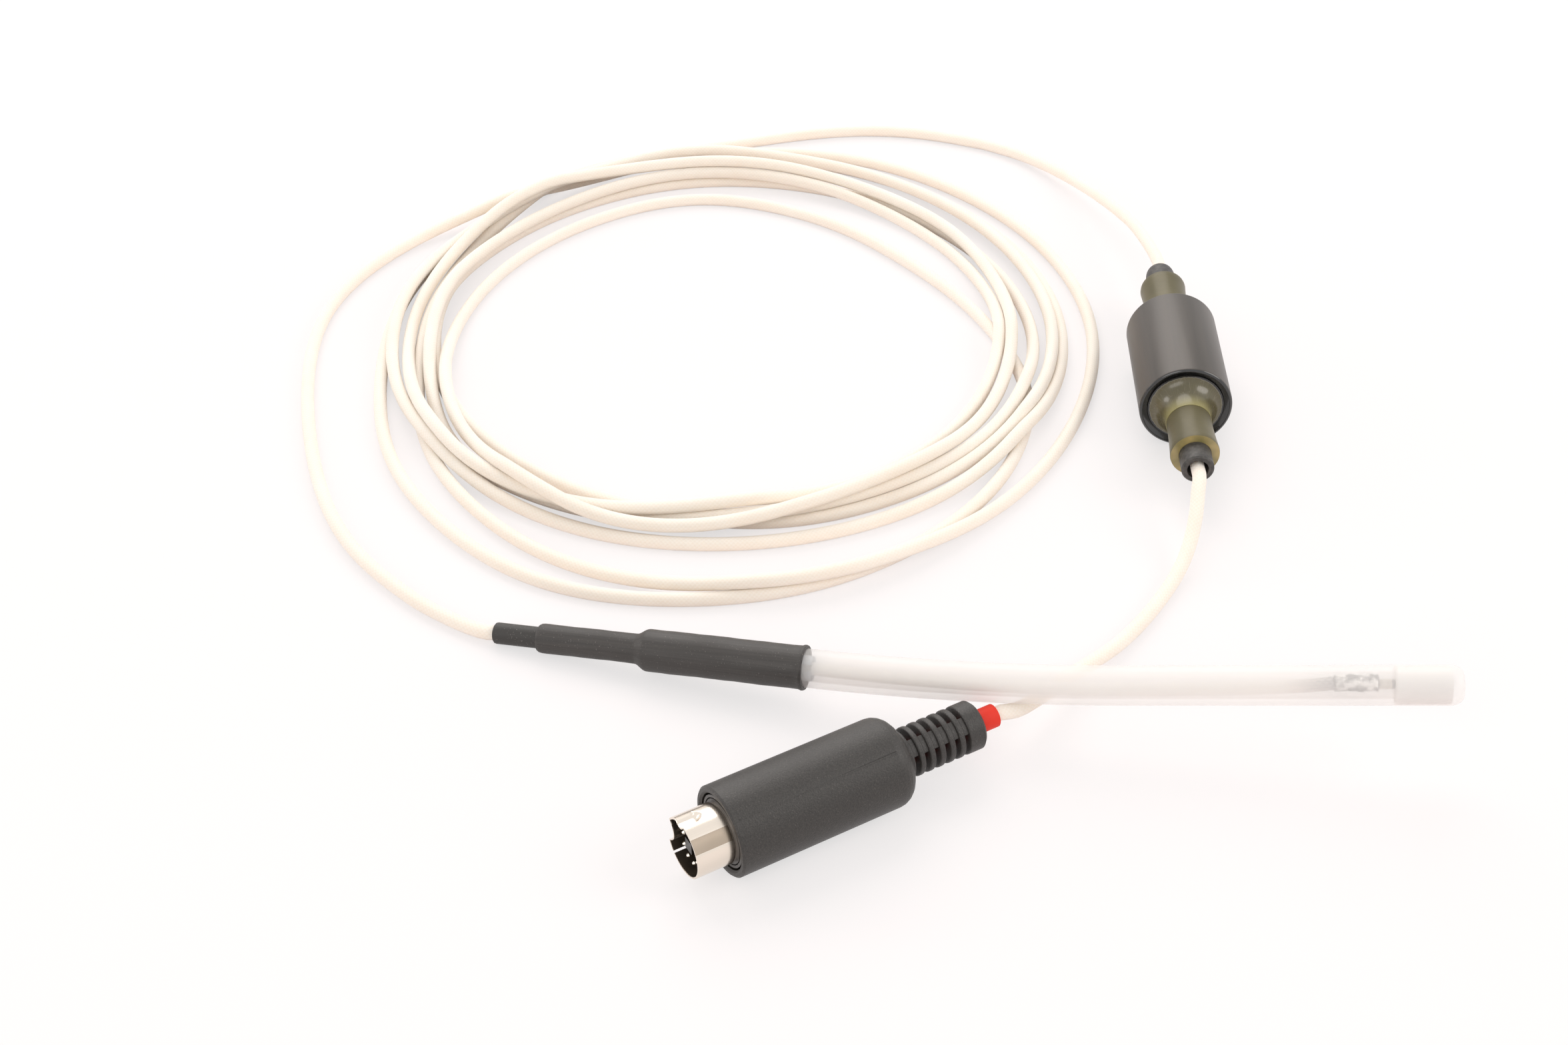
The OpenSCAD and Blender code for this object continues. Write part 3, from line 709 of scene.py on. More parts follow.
# The lines of the handle and of the tip meet at a corner, and the bend rounds it off
both_ways = np.column_stack([handle_way, -tip_way])
to_corner = np.linalg.lstsq(both_ways, tip_back - probe_exit, rcond=None)[0]
corner = probe_exit + handle_way * to_corner[0]
bend_turn = math.acos(handle_way @ tip_way)
bend_radius = BEND_LENGTH * MM / bend_turn
cut_back = bend_radius * math.tan(bend_turn / 2)
bend_start = corner - handle_way * cut_back
inwards = unit(tip_way - handle_way * (handle_way @ tip_way))
bend_points = [
    bend_start + bend_radius * (math.sin(a) * handle_way + (1 - math.cos(a)) * inwards)
    for a in np.linspace(0, bend_turn, 25)
]
handle_length = np.linalg.norm(bend_start - probe_exit) / MM
tube_end = tip_front + tip_way * END_WALL * MM
probe_line = Path([probe_exit, (probe_exit + bend_start) / 2] + bend_points
                  + [(bend_points[-1] + tube_end) / 2, tube_end], -handle_length)
tip_reach = probe_line.reach[-1]
print("bend:", round(math.degrees(bend_turn), 2), "degrees, handle", round(handle_length, 1),
      "mm, tip at", round(tip_reach, 1), "mm")

# %% Milky plastic
board = finish("milky_tube")
cloud = board.noise(40.0, detail=2.0)
scratch = board.noise(900.0, detail=2.0)
coat(board, {
    "Base Color": board.blend((cloud * 1.6 - 0.3).clamped(), (0.96, 0.92, 0.89), (0.99, 0.97, 0.95)),
    "Roughness": 0.28 + scratch * 0.12,
    "Alpha": 0.34 + cloud * 0.06,
    "Normal": board.bump(scratch, 0.00002, 0.2),
    "Specular IOR Level": 0.5,
})

# %% Tube with its closed end
TUBE_R = 3.0
BORE_R = 2.0
FILLING_R = 2.82
# How far the tube reaches into the sleeve
GRIP = 22.0
BEVEL = 1.3
BEVEL_REACH = 1.5 * BEVEL
bore_end = tip_reach - END_WALL


def stations(start, end, step):
    """Evenly spaced places between two others, ends included."""
    return list(np.linspace(start, end, max(2, round(abs(end - start) / step)) + 1))


outside = [(x, TUBE_R) for x in stations(-GRIP, tip_reach - BEVEL_REACH, 2.0)]
rounding = [
    (tip_reach - BEVEL_REACH + BEVEL_REACH * math.sin(a), TUBE_R - BEVEL * (1 - math.cos(a)))
    for a in np.radians([12, 24, 36, 48, 60, 72, 82, 90])
]
filling_back = BEND_LENGTH + (tip_back - bend_points[-1]) @ tip_way / MM
inside = [(bore_end, FILLING_R - 0.1), (bore_end - 0.1, FILLING_R), (filling_back, FILLING_R)]
inside += [(x, BORE_R) for x in stations(filling_back, -GRIP, 2.0)]
tube = turned(
    "clear_tube", probe_line,
    [(-GRIP, BORE_R)] + outside + rounding + [(tip_reach, 0), (bore_end, 0)] + inside, sides=48)
dress(tube, "milky_tube", "clear_tube", "sheath_tube")

# %% [markdown]
# ## What lies in the tube
# A white plug fills the tube's end. Behind it lie a small ceramic bead, the sensing element
# in crumpled foil, and the woven lead, which droops towards the floor of the bore. A cloth
# simulation could crumple the foil. At three millimetres across it isn't worth it: a few
# waves of the radius, round the piece and along it, make the folds, and a bump the creases.

# %% Finishes in the tube
mottled("white_plug", 300.0, (0.99, 0.98, 0.97), (0.96, 0.94, 0.92),
        {"Roughness": 0.6}, grain=(1500.0, 0.00003, 0.4))
mottled("ceramic_bead", 700.0, (0.80, 0.74, 0.66), (0.66, 0.60, 0.53), {"Roughness": 0.35})
mottled("bead_mark", 900.0, (0.16, 0.15, 0.16), (0.28, 0.26, 0.26), {"Roughness": 0.45})
mottled("slotted_bush", 500.0, (0.20, 0.27, 0.34), (0.28, 0.35, 0.42), {"Roughness": 0.5})
paint("slotted_bush", "tube_bush")

# %% Crumpled foil
board = finish("crumpled_foil")
crease = board.noise(750.0, detail=5.0, roughness=0.7)
# Black and white patches in the foil's colour: painted reflections and painted highlights of its
# crumples.
painted_reflection = board.noise(420.0, detail=3.0)
coat(board, {
    "Base Color": board.blend((painted_reflection * 7.0 - 2.9).clamped(), (0.05, 0.045, 0.05), (1.0, 0.98, 0.95)),
    "Roughness": 0.12 + crease * 0.25, "Metallic": 0.55,
    "Normal": board.bump(crease, 0.00025, 0.9),
})

# %% White filling
# How far the foil lies above the middle of the tube
RISE = 0.45


def node_reach(node, place, way):
    """First and last reach of a node's points along a way from a place, in millimetres."""
    reach = (node_points(node) - place) @ way / MM
    return reach.min(), reach.max()


def line_at(node, rise):
    """A straight path along a node of the tip, raised by some millimetres."""
    low, high = node_reach(node, tip_back, tip_way)
    return straight(tip_back + np.array([0, 0, rise * MM]), tip_way, low, high), low, high


filling_line, filling_low, filling_high = line_at("tip_filling", 0)
filling = turned("tip_filling", filling_line, [
    (filling_low, 0), (filling_low, FILLING_R - 0.25), (filling_low + 0.2, FILLING_R - FIT),
    (filling_high - 0.12, FILLING_R - FIT), (filling_high - FIT, FILLING_R - 0.15),
    (filling_high - FIT, 0)], sides=48)
dress(filling, "white_plug", "white_filling", "tip_filling")

# %% Bead
BEAD_R = 0.75
MARK_LENGTH = 0.55

bead_line, bead_low, bead_high = line_at("sensor_bead", RISE / 2)
bead = turned("ceramic_bead", bead_line, [
    (bead_low, 0), (bead_low, BEAD_R - 0.1), (bead_low + 0.3, BEAD_R), (bead_high - 0.5, BEAD_R),
    (bead_high - 0.35, BEAD_R - 0.02), (bead_high - 0.12, BEAD_R - 0.1), (bead_high, 0)],
    sides=24)
dress(bead, "ceramic_bead", "white_weave", "sensor_bead")
mark_faces(bead, "bead_mark", tip_back, tip_way,
           lambda face, reach, offset: reach > bead_high - MARK_LENGTH)

# %% Foil
FOIL_R = 1.28
# Lengths of the dark marks at the foil's two ends
BACK_MARK = 0.3
FRONT_MARK = 0.15

foil_line, foil_low, foil_high = line_at("sensor_element", RISE)


def crumple(reach, angle, radius):
    """Folds of the foil, coarse ones round it and finer ones along it."""
    folds = 0.09 * np.sin(3 * angle + 1.7 * reach) + 0.06 * np.sin(7 * angle - 2.6 * reach + 1)
    fold_more = 0.05 * np.sin(11 * angle + 5.1 * reach) * np.cos(2.3 * reach)
    return radius * (1 + folds * 0.5 + fold_more * 0.5)


foil_rings = [(x, FOIL_R - 0.1 * abs(math.sin(2.4 * x)) + 0.06 * math.sin(5 * x))
              for x in stations(foil_low + 0.1, foil_high - 0.1, 0.12)]
foil = turned("foil_element", foil_line,
              [(foil_low, 0), (foil_low, FOIL_R - 0.25)] + foil_rings
              + [(foil_high, FOIL_R - 0.2), (foil_high, 0)], sides=40, swell=crumple)
dress(foil, "crumpled_foil", "foil", "sensor_element")
mark_faces(foil, "bead_mark", tip_back, tip_way, lambda face, reach, offset:
           reach < foil_low + BACK_MARK or reach > foil_high - FRONT_MARK)

# %% [markdown]
# ## The lead
# The element's woven lead runs back through the bore to the handle. It is limp, so it sinks
# to the floor of the bore and rises to the foil only near its end. A rope simulation could
# find that line, and a short formula for the drop gives it with one number for the sag.

# %% Drooping lead
LEAD_R = 1.0
LEAD_BACK = 1.0
SAG = 0.8

lead_front = BEND_LENGTH + node_reach("sensor_element", bend_points[-1], tip_way)[0]
lead_points = []
for t in np.linspace(0, 1, 60):
    reach = lead_front - t * (lead_front - LEAD_BACK)
    drop = RISE * (1 - t) ** 6 - SAG * math.sin(math.pi * t ** 0.6)
    lead_points.append(probe_line.at(probe_line.points, [reach])[0] + np.array([0, 0, drop * MM]))
lead_path = Path(lead_points)
lead = turned("inner_lead", lead_path,
              [(0, 0)] + [(x, LEAD_R) for x in stations(0, lead_path.reach[-1], 1.0)]
              + [(lead_path.reach[-1], 0)], sides=24, weave=LEAD_R * MM)
dress(lead, "woven_lead", "white_weave", "inner_lead")

# %% [markdown]
# ## The sleeves
# Shrunk black sleeves make the handle: one that is wide over the tube and narrow over the
# cable, and a small one on the cable. A shrunk sleeve follows what it grips, so its outline
# waves a little, its edges are soft and its mouth ends in a thin rolled lip. It could be
# sculpted, but a profile with a few slow waves says where each radius comes from. The matt
# skin has pale specks of dust and faint streaks along it.

# %% Sleeve finishes
board = finish("shrunk_sleeve")
streak = board.noise(1.0, detail=4.0, vector=board.along_piece(9.0, 1.4))
dust = board.specks(4200.0, 0.68)
worn = board.noise(140.0, detail=4.0)
dark = board.blend((streak * 1.3 - 0.2).clamped(), (0.026, 0.023, 0.021), (0.064, 0.057, 0.052))
coat(board, {
    "Base Color": board.blend(dust * 0.3, dark, (0.28, 0.25, 0.23)),
    "Roughness": 0.44 + worn * 0.2,
    "Normal": board.bump(streak * 0.7 + board.noise(1700.0) * 0.5, 0.00006, 0.5),
})
board = finish("small_sleeve")
dust = board.specks(4200.0, 0.68)
coat(board, {
    "Base Color": board.blend(dust * 0.5, (0.032, 0.029, 0.026), (0.30, 0.27, 0.25)),
    "Roughness": 0.55, "Normal": board.bump(board.noise(1500.0), 0.00005, 0.4),
})

# %% Main sleeve
WIDE_R = 3.4
NARROW_R = 2.4
SMALL_R = 1.725
WIDE_LENGTH = 25.5
STEP_LENGTH = 2.2
NARROW_END = -44.0
LIP = 0.15
WAVE = 0.018


def uneven(reach, angle, radius):
    """Slow small waves of a shrunk sleeve, none of which goes outside the packed size."""
    wave = np.sin(0.9 * reach + 2 * angle) + np.sin(0.37 * reach - angle) + 0.6 * np.sin(2.1 * reach)
    return radius - WAVE * (wave + 2.6) * (radius > SMALL_R + 0.1)


def sleeve_step():
    """The soft step from the narrow part's radius up to the wide one's."""
    share = np.linspace(0, 1, 12)
    rise = (1 - np.cos(math.pi * share)) / 2
    return list(zip(STEP_LENGTH * share - WIDE_LENGTH - STEP_LENGTH,
                    NARROW_R + (WIDE_R - NARROW_R) * rise))


sleeve_outside = (
    [(NARROW_END, NARROW_R - 0.45), (NARROW_END + 0.08, NARROW_R - 0.2),
     (NARROW_END + 0.35, NARROW_R - 0.05), (NARROW_END + 0.8, NARROW_R)]
    + [(x, NARROW_R) for x in stations(NARROW_END + 1.6, -WIDE_LENGTH - STEP_LENGTH - 0.8, 0.8)]
    + sleeve_step()
    + [(x, WIDE_R) for x in stations(-WIDE_LENGTH + 0.8, -1.6, 0.8)]
    + [(-0.85, WIDE_R), (-0.6, WIDE_R + 0.6 * LIP), (-0.4, WIDE_R + LIP),
       (-0.2, WIDE_R + 0.9 * LIP), (0.0, WIDE_R + 0.3 * LIP)]
)
sleeve_inside = [(0.0, TUBE_R + 0.03), (-GRIP, TUBE_R + 0.03), (-GRIP - 4, SMALL_R + FIT),
                 (NARROW_END, SMALL_R + FIT), sleeve_outside[0]]
sleeve = turned("main_sleeve", probe_line, sleeve_outside + sleeve_inside, sides=64, swell=uneven,
                weave=WIDE_R * MM)
dress(sleeve, "shrunk_sleeve", "black_shrink", "main_sleeve")

# %% Small sleeve
small_end = -handle_length
inner_r = cable_mm / 2 + FIT
small = turned("cable_sleeve", probe_line, [
    (small_end, inner_r), (small_end, SMALL_R - 0.18), (small_end + 0.12, SMALL_R - 0.05),
    (small_end + 0.4, SMALL_R)] + [(x, SMALL_R) for x in stations(small_end + 1, -WIDE_LENGTH - 2.5, 1)]
    + [(-WIDE_LENGTH - 2.4, inner_r), (small_end, inner_r)], sides=48, weave=SMALL_R * MM)
dress(small, "small_sleeve", "black_shrink", "cable_sleeve")

# %% [markdown]
# ## The filter
# A black moulded housing holds a core, and an olive tube runs through the core, with a flared
# bright rim at each end. The housing could be a cylinder with bevelled edges, but as a turned
# piece it gets a map that unrolls it, and the faint streaks of its finish follow that map. The
# core can hardly be seen and keeps its packed shape, with a better finish.

# %% Housing finishes
board = finish("satin_housing")
soft = board.noise(1.0, detail=3.0, vector=board.along_piece(5.0, 0.04))
coat(board, {
    "Base Color": board.blend((soft * 2.0 - 0.5).clamped(), (0.040, 0.034, 0.029), (0.068, 0.058, 0.050)),
    "Roughness": 0.34 + soft * 0.12, "Specular Tint": (1.0, 0.95, 0.90, 1.0),
    "Normal": board.bump(board.noise(2200.0), 0.00002, 0.25),
    "Coat Weight": 0.1, "Coat Roughness": 0.25,
})
board = finish("ring_gloss")
coat(board, {"Base Color": (0.012, 0.012, 0.012, 1), "Roughness": 0.12, "Coat Weight": 0.6})
mottled("sintered_core", 900.0, (0.06, 0.06, 0.065), (0.10, 0.10, 0.11), {"Roughness": 0.6})
paint("sintered_core", "ferrite_core")

# %% [markdown]
# ## The resin
# Olive resin closes the housing's two ends. It runs from the housing's bore down to the tube
# in a hollow cone with fine wrinkles and a ragged outer edge. Resin is poured, and a fluid
# simulation could pour it, but it wouldn't set in these wrinkles. Here the cone is a turned
# piece whose wrinkles are waves of the radius. The ragged edge, the rough lip beside it and
# the fine cracks are lines in its material, moved by noise.

# %% Olive resin
# Where the resin's open skin begins on the profile, and how far it runs down, in mm
RESIN_SKIN = 6.4
RESIN_DOWN = 6.6

board = finish("olive_resin")
_, skin = board.unrolled()
down = ((skin - RESIN_SKIN) / RESIN_DOWN).clamped()
crack = board.noise(1.0, detail=1.0, vector=board.along_piece(8.0, 0.25))
fine_line = (1 - ((crack - 0.5) * 60.0) ** 2.0).clamped()
cloud = board.noise(130.0, detail=3.0)
olive = board.blend((cloud * 1.6 - 0.3).clamped(), (0.082, 0.069, 0.028), (0.122, 0.104, 0.050))
# Painted glow: towards the neck the resin is painted brighter and yellower, in patches.
glow = board.blend(((down - 0.5) * 2.2).clamped() * cloud * 1.3, olive, (0.40, 0.36, 0.16))
lined = board.blend(fine_line * 0.10, glow, (0.46, 0.42, 0.30))
ragged = down - 0.03 - (board.noise(1.0, detail=4.0, vector=board.along_piece(16.0, 0.3)) - 0.5) * 0.06
lip = (1 - (ragged * 34.0) ** 2.0).clamped()
filled = (ragged * 60.0).clamped()
edged = board.blend(lip * 0.7, lined, (0.27, 0.26, 0.22))
coat(board, {
    "Base Color": board.blend(filled, (0.010, 0.010, 0.010), edged),
    "Roughness": 0.20 + cloud * 0.10, "Coat Weight": 0.4, "Coat Roughness": 0.12,
    "Normal": board.bump(crack, 0.0001, 0.2),
})

# %% Finishes of the tube and the grommets
mottled("olive_tube", 120.0, (0.075, 0.064, 0.028), (0.130, 0.112, 0.055),
        {"Roughness": 0.38, "Specular IOR Level": 0.42, "Specular Tint": (1.0, 0.95, 0.85, 1.0)},
        detail=4.0, contrast=(2.0, 0.5), grain=(500.0, 0.00006, 0.4))
mottled("tube_rim", 260.0, (0.17, 0.155, 0.055), (0.50, 0.38, 0.15),
        {"Roughness": 0.35, "Coat Weight": 0.5}, detail=2.0, contrast=(2.4, 0.7))
board = finish("grommet_rubber")
rub = board.noise(1300.0, detail=4.0)
coat(board, {
    "Base Color": board.blend((rub * 2.4 - 0.8).clamped(), (0.030, 0.028, 0.026), (0.085, 0.078, 0.072)),
    "Roughness": 0.5, "Normal": board.bump(rub, 0.0001, 0.7),
})
paint("grommet_rubber", "front_grommet")

# %% Housing
HOUSING_R = 8.2
EDGE_ROUND = 0.5
BORE_FILTER_R = 6.7
# The gloss of the housing's ends starts this far inside its radius
GLOSS_EDGE = 0.06

housing_place = filter_front + filter_way * node_reach("filter_housing", filter_front, filter_way)[0] * MM
housing_length = node_reach("filter_housing", housing_place, filter_way)[1]
filter_line = straight(housing_place, filter_way, -20, 50)
edge = [(EDGE_ROUND * (1 - math.sin(a)), HOUSING_R - EDGE_ROUND * (1 - math.cos(a)))
        for a in np.radians(np.linspace(90, 0, 10))]
ring = [(0.55, BORE_FILTER_R), (0.45, BORE_FILTER_R + 0.08), (0.12, HOUSING_R - EDGE_ROUND - 0.1)]
end_skin = ring + edge
far_skin = [(housing_length - reach, radius) for reach, radius in end_skin[::-1]]
housing_profile = end_skin + far_skin + [end_skin[0]]
housing = turned("filter_housing", filter_line, housing_profile, sides=128, weave=MM / FULL_TURN)
dress(housing, "satin_housing", "black_housing", "filter_housing")
mark_faces(housing, "ring_gloss", housing_place, filter_way,
           lambda face, reach, offset: np.linalg.norm(offset) < HOUSING_R - GLOSS_EDGE)

# %% Resin at both ends
RESIN_REACH = 4.6
RESIN_DEPTH = 4.0
NECK_R = 3.9
WRINKLE = 0.015


def wrinkled(reach, angle, radius):
    """Shallow folds that run down the resin, deepest half way."""
    down = np.clip((BORE_FILTER_R - radius) / (BORE_FILTER_R - NECK_R), 0, 1)
    folds = np.sin(7 * angle + 2 * np.sin(3 * angle)) + 0.5 * np.sin(13 * angle + 2 * reach)
    return radius - WRINKLE * (folds + 1.5) * 4 * down * (1 - down) * (radius > NECK_R + 0.2)


def resin_cone(name, way, place, node):
    """The resin at one end of the housing. The way points out of that end."""
    line = straight(place, way, -6, 6)
    resin_r = BORE_FILTER_R - FIT
    curve = [
        ((RESIN_REACH + 0.4) * (1 - math.cos(a)) - 0.4, resin_r - (resin_r - NECK_R - 0.1) * math.sin(a))
        for a in np.radians(np.linspace(0, 90, 19))
    ]
    profile = ([(-RESIN_DEPTH, NECK_R + 0.01), (-RESIN_DEPTH, resin_r)] + curve
               + [(RESIN_REACH, NECK_R + 0.01), (-RESIN_DEPTH, NECK_R + 0.01)])
    cone = turned(name, line, profile, sides=160, swell=wrinkled, weave=MM / FULL_TURN)
    dress(cone, "olive_resin", "olive_resin", node)
    return cone


housing_back = housing_place + filter_way * housing_length * MM
front_resin = resin_cone("front_resin", -filter_way, housing_place, "front_resin")
rear_resin = resin_cone("rear_resin", filter_way, housing_back, "rear_resin")

# %% Olive tube
NECK_LENGTH = 14.0
FLARE = 0.4
GROMMET_R = 2.8
RIM_BAND = 0.12

neck_out = NECK_LENGTH - RESIN_REACH
neck = [(-NECK_LENGTH + neck_out * t, NECK_R + FLARE * (1 - t) ** 2) for t in np.linspace(0.04, 1, 12)]
neck += [(housing_length + NECK_LENGTH - neck_out * t, NECK_R + FLARE * (1 - t) ** 2)
         for t in np.linspace(1, 0.04, 12)]
ends = (-NECK_LENGTH, housing_length + NECK_LENGTH)
tube_r = GROMMET_R + FIT
tube_profile = ([(ends[0], tube_r), (ends[0], NECK_R + FLARE - 0.1)] + neck
                + [(ends[1], NECK_R + FLARE - 0.1), (ends[1], tube_r), (ends[0], tube_r)])
core_tube = turned("core_tube", filter_line, tube_profile, sides=64)
dress(core_tube, "olive_tube", "olive_tube", "core_tube")
mark_faces(core_tube, "tube_rim", housing_place, filter_way, lambda face, reach, offset:
           reach < ends[0] + RIM_BAND or reach > ends[1] - RIM_BAND)

# %% [markdown]
# ## The rear grommet
# A soft rubber plug guides the cable out of the olive tube and ends in a full dome. A quarter
# of an ellipse, turned round the axis, would be too pointed. With powers of its sine and its
# cosine it keeps its width for longer and then closes on the cable in a short curve.

# %% Domed rear grommet
DOME_REACH = 6.4
DOME_INSIDE = 7.0
DOME_STRAIGHT = 0.35
# With a power of 1 the dome's outline would be a part of an ellipse. A lower one makes it fuller
DOME_POWER = 0.6

foot = housing_length + NECK_LENGTH
straight_part = DOME_STRAIGHT * DOME_REACH
dome = [
    (foot + straight_part + (DOME_REACH - straight_part) * math.sin(a) ** DOME_POWER,
     inner_r + (GROMMET_R - inner_r) * math.cos(a) ** DOME_POWER)
    for a in np.radians(np.linspace(0, 89.9, 16))
]
dome_profile = ([(foot - DOME_INSIDE, inner_r), (foot - DOME_INSIDE, GROMMET_R)] + dome
                + [(foot + DOME_REACH, inner_r), (foot - DOME_INSIDE, inner_r)])
rear_grommet = turned("rear_grommet", filter_line, dome_profile, sides=48)
dress(rear_grommet, "grommet_rubber", "black_rubber", "rear_grommet")

# %% [markdown]
# ## The plug
# A moulded hood with a fine sparked skin ends in a ribbed boot, with a red sleeve through it.
# In the hood's mouth sit a collar and a metal shield. The hood, its collar and the sleeve have
# all their edges in the packed shapes, so they keep these and only get better finishes. A
# picture of the skin could be wrapped round them, but would show seams. Noise that follows the
# piece's own coordinates has none.

# %% Hood and shield finishes
board = finish("sparked_hood")
grain = board.noise(4200.0, detail=2.0, roughness=0.6)
cloud = board.noise(60.0)
spark = board.specks(5200.0, 0.66)
dark = board.blend((grain * 2.0 - 0.5).clamped(), (0.018, 0.016, 0.014), (0.046, 0.041, 0.037))
coat(board, {
    "Base Color": board.blend(spark * 0.25, dark, (0.20, 0.18, 0.165)),
    "Roughness": 0.42 + cloud * 0.10,
    "Normal": board.bump(grain, 0.00008, 0.7),
})
board = finish("bright_nickel")
brushed = board.noise(1.0, detail=4.0, vector=board.along_piece(30.0, 1.0))
coat(board, {
    "Base Color": board.blend(brushed, (0.80, 0.70, 0.60), (0.88, 0.80, 0.71)), "Metallic": 1.0,
    "Roughness": 0.16 + brushed * 0.10, "Normal": board.bump(board.noise(260.0), 0.00006, 0.25),
})

# %% Plain finishes of the plug
mottled("hood_collar", 1800.0, (0.035, 0.032, 0.030), (0.09, 0.082, 0.076),
        {"Roughness": 0.4}, grain=(1800.0, 0.00008, 0.5))
mottled("red_rubber", 400.0, (0.80, 0.038, 0.018), (0.74, 0.030, 0.014),
        {"Roughness": 0.6, "Specular IOR Level": 0.35}, grain=(1500.0, 0.00004, 0.4))
mottled("black_insulator", 900.0, (0.012, 0.010, 0.009), (0.03, 0.026, 0.022), {"Roughness": 0.3})
mottled("wire_skin", 300.0, (0.55, 0.42, 0.30), (0.62, 0.50, 0.36), {"Roughness": 0.5})
# Each plain metal: its noise scale, its two colours, and how metallic and how rough it is
METALS = {
    "nickel_band": (260.0, (0.44, 0.36, 0.28), (0.52, 0.43, 0.34), 1.0, 0.22),
    # The shield's inside gets a dark metal: painted shade and a painted reflection of the dark insulator
    # in its hollow.
    "nickel_painted_shade": (400.0, (0.07, 0.055, 0.042), (0.16, 0.13, 0.10), 0.8, 0.3),
    "pin_metal": (900.0, (0.86, 0.78, 0.66), (0.92, 0.86, 0.76), 1.0, 0.18),
    "pressed_steel": (300.0, (0.62, 0.60, 0.57), (0.70, 0.68, 0.64), 1.0, 0.3),
}
for name, (scale, first, second, metallic, rough) in METALS.items():
    mottled(name, scale, first, second, {"Metallic": metallic, "Roughness": rough})
paint("sparked_hood", "plug_hood")
paint("hood_collar", "plug_collar")
paint("red_rubber", "red_sleeve")
paint("black_insulator", "plug_insulator")
paint("pressed_steel", "clamp_upper", "clamp_lower")
paint("wire_skin", "core_wires")

# %% [markdown]
# ## The shield
# The shield is a strip of nickel sheet, rolled round until its seam almost closes. It has a
# dull flat band, and two dents are pressed in from its mouth. Cutting dents out of a pipe
# would break its wall. So the radius of the sheet's two skins is worked out from the same
# dents, and the wall keeps its thickness. The seam is an open strip between two angles.

# %% Rolled shield
# Angles are measured from the plug's near side over its top, in degrees
SHIELD_R = 4.6
SHEET = 0.35
SHIELD_REACH = 5.9
SHIELD_GAP = 0.1
ROOT_R = 4.35
ROOT_BORE = 4.07
COLLAR_END = 4.4
SEAM_ANGLE = 230.0
SEAM_HALF = 2.2
BAND_ANGLE = 43.0
BAND_HALF = 13.0
# Each dent: its angle, its radius, its depth and the reach at which it ends
DENTS = [(100.0, 1.3, 0.8, -2.2), (177.0, 2.5, 1.8, -2.4)]
FADE = 1.5

plug_place = plug_inner + plug_way * node_reach("plug_hood", plug_inner, plug_way)[0] * MM
plug_line = straight(plug_place, plug_way, -10, 60)


def pressed(reach, angle, radius):
    """Radius of the sheet where dents are pressed in. Both skins of the sheet move alike."""
    result = radius + 0 * angle
    for middle, dent_r, depth, end in DENTS:
        off = (angle - math.radians(middle) + math.pi) % FULL_TURN - math.pi
        share = np.clip((end - reach) / FADE, 0, 1)
        here = depth * share ** 2 * (3 - 2 * share)
        centre = SHIELD_R + dent_r - here
        inside_circle = dent_r ** 2 - (centre * np.sin(off)) ** 2
        edge = centre * np.cos(off) - np.sqrt(np.clip(inside_circle, 0, None))
        deep = np.where((inside_circle > 0) & (np.cos(off) > 0), np.clip(SHIELD_R - edge, 0, here), 0)
        result = result - deep
    return result


outer_reaches = list(np.linspace(-SHIELD_REACH + 0.06, -SHIELD_GAP - 0.02, 48))
outer = [(-SHIELD_REACH, SHIELD_R - 0.06)] + [(x, SHIELD_R) for x in outer_reaches]
inner = [(x, SHIELD_R - SHEET) for x in reversed(outer_reaches[:-1])]
root = [(-SHIELD_GAP, SHIELD_R - 0.02), (-SHIELD_GAP, ROOT_R), (COLLAR_END, ROOT_R),
        (COLLAR_END, ROOT_BORE), (-SHIELD_GAP - 0.1, ROOT_BORE)]
profile = (outer + root + inner + [(-SHIELD_REACH, SHIELD_R - SHEET + 0.06), outer[0]])
shield = turned("plug_shield", plug_line, profile, sides=180, swell=pressed, weave=SHIELD_R * MM,
                slit=(SEAM_ANGLE - SEAM_HALF, SEAM_ANGLE + SEAM_HALF))
dress(shield, "bright_nickel", "nickel", "plug_shield")

# %% Band of the shield, and painted shade inside it
def on_band(face, reach, offset):
    """True on the outer skin of the flat band."""
    turn = math.degrees(math.atan2(offset @ plug_line.up[0], offset @ plug_line.side[0]))
    return abs(turn - BAND_ANGLE) < BAND_HALF and np.linalg.norm(offset) > SHIELD_R - 0.1


def looks_inwards(face, reach, offset):
    """True where a face looks towards the plug's axis."""
    return np.array(face.normal) @ offset < -0.3 * np.linalg.norm(offset)


mark_faces(shield, "nickel_band", plug_place, plug_way, on_band)
# The faces that look inwards get the dark nickel: painted shade inside the shield.
mark_faces(shield, "nickel_painted_shade", plug_place, plug_way, looks_inwards)
print("faces of each finish:", np.bincount([face.material_index for face in shield.data.polygons]))

# %% [markdown]
# ## The pins
# Six round pins with tapered tips stand in the insulator, all alike. They could be six copies
# of one object. With Geometry Nodes one pin is made from its named sizes and set on a point
# for each place, so that a new size reaches all of them. The result then becomes a plain
# mesh, because an export leaves out instances.

# %% Pins by geometry nodes
PIN_PLACES = [(-2.3, 0.9), (1.9, 0.9), (-2.2, -1.3), (1.8, -1.3), (-1, -2.7), (0.7, -2.7)]
PIN_R = 0.325
PIN_TIP = 0.3
PIN_SIDES = 20

tree = bpy.data.node_groups.new("pin_rows", "GeometryNodeTree")
inputs = {}
for label, kind in (("Places", "Geometry"), ("Radius", "Float"), ("Length", "Float"), ("Tip", "Float"),
                    ("Turn", "Vector"), ("Finish", "Material")):
    socket = tree.interface.new_socket(label, in_out="INPUT", socket_type="NodeSocket" + kind)
    inputs[label] = socket.identifier
tree.interface.new_socket("Pins", in_out="OUTPUT", socket_type="NodeSocketGeometry")
plan = Board(tree)


def given(label):
    return plan.add("NodeGroupInput", output=label)


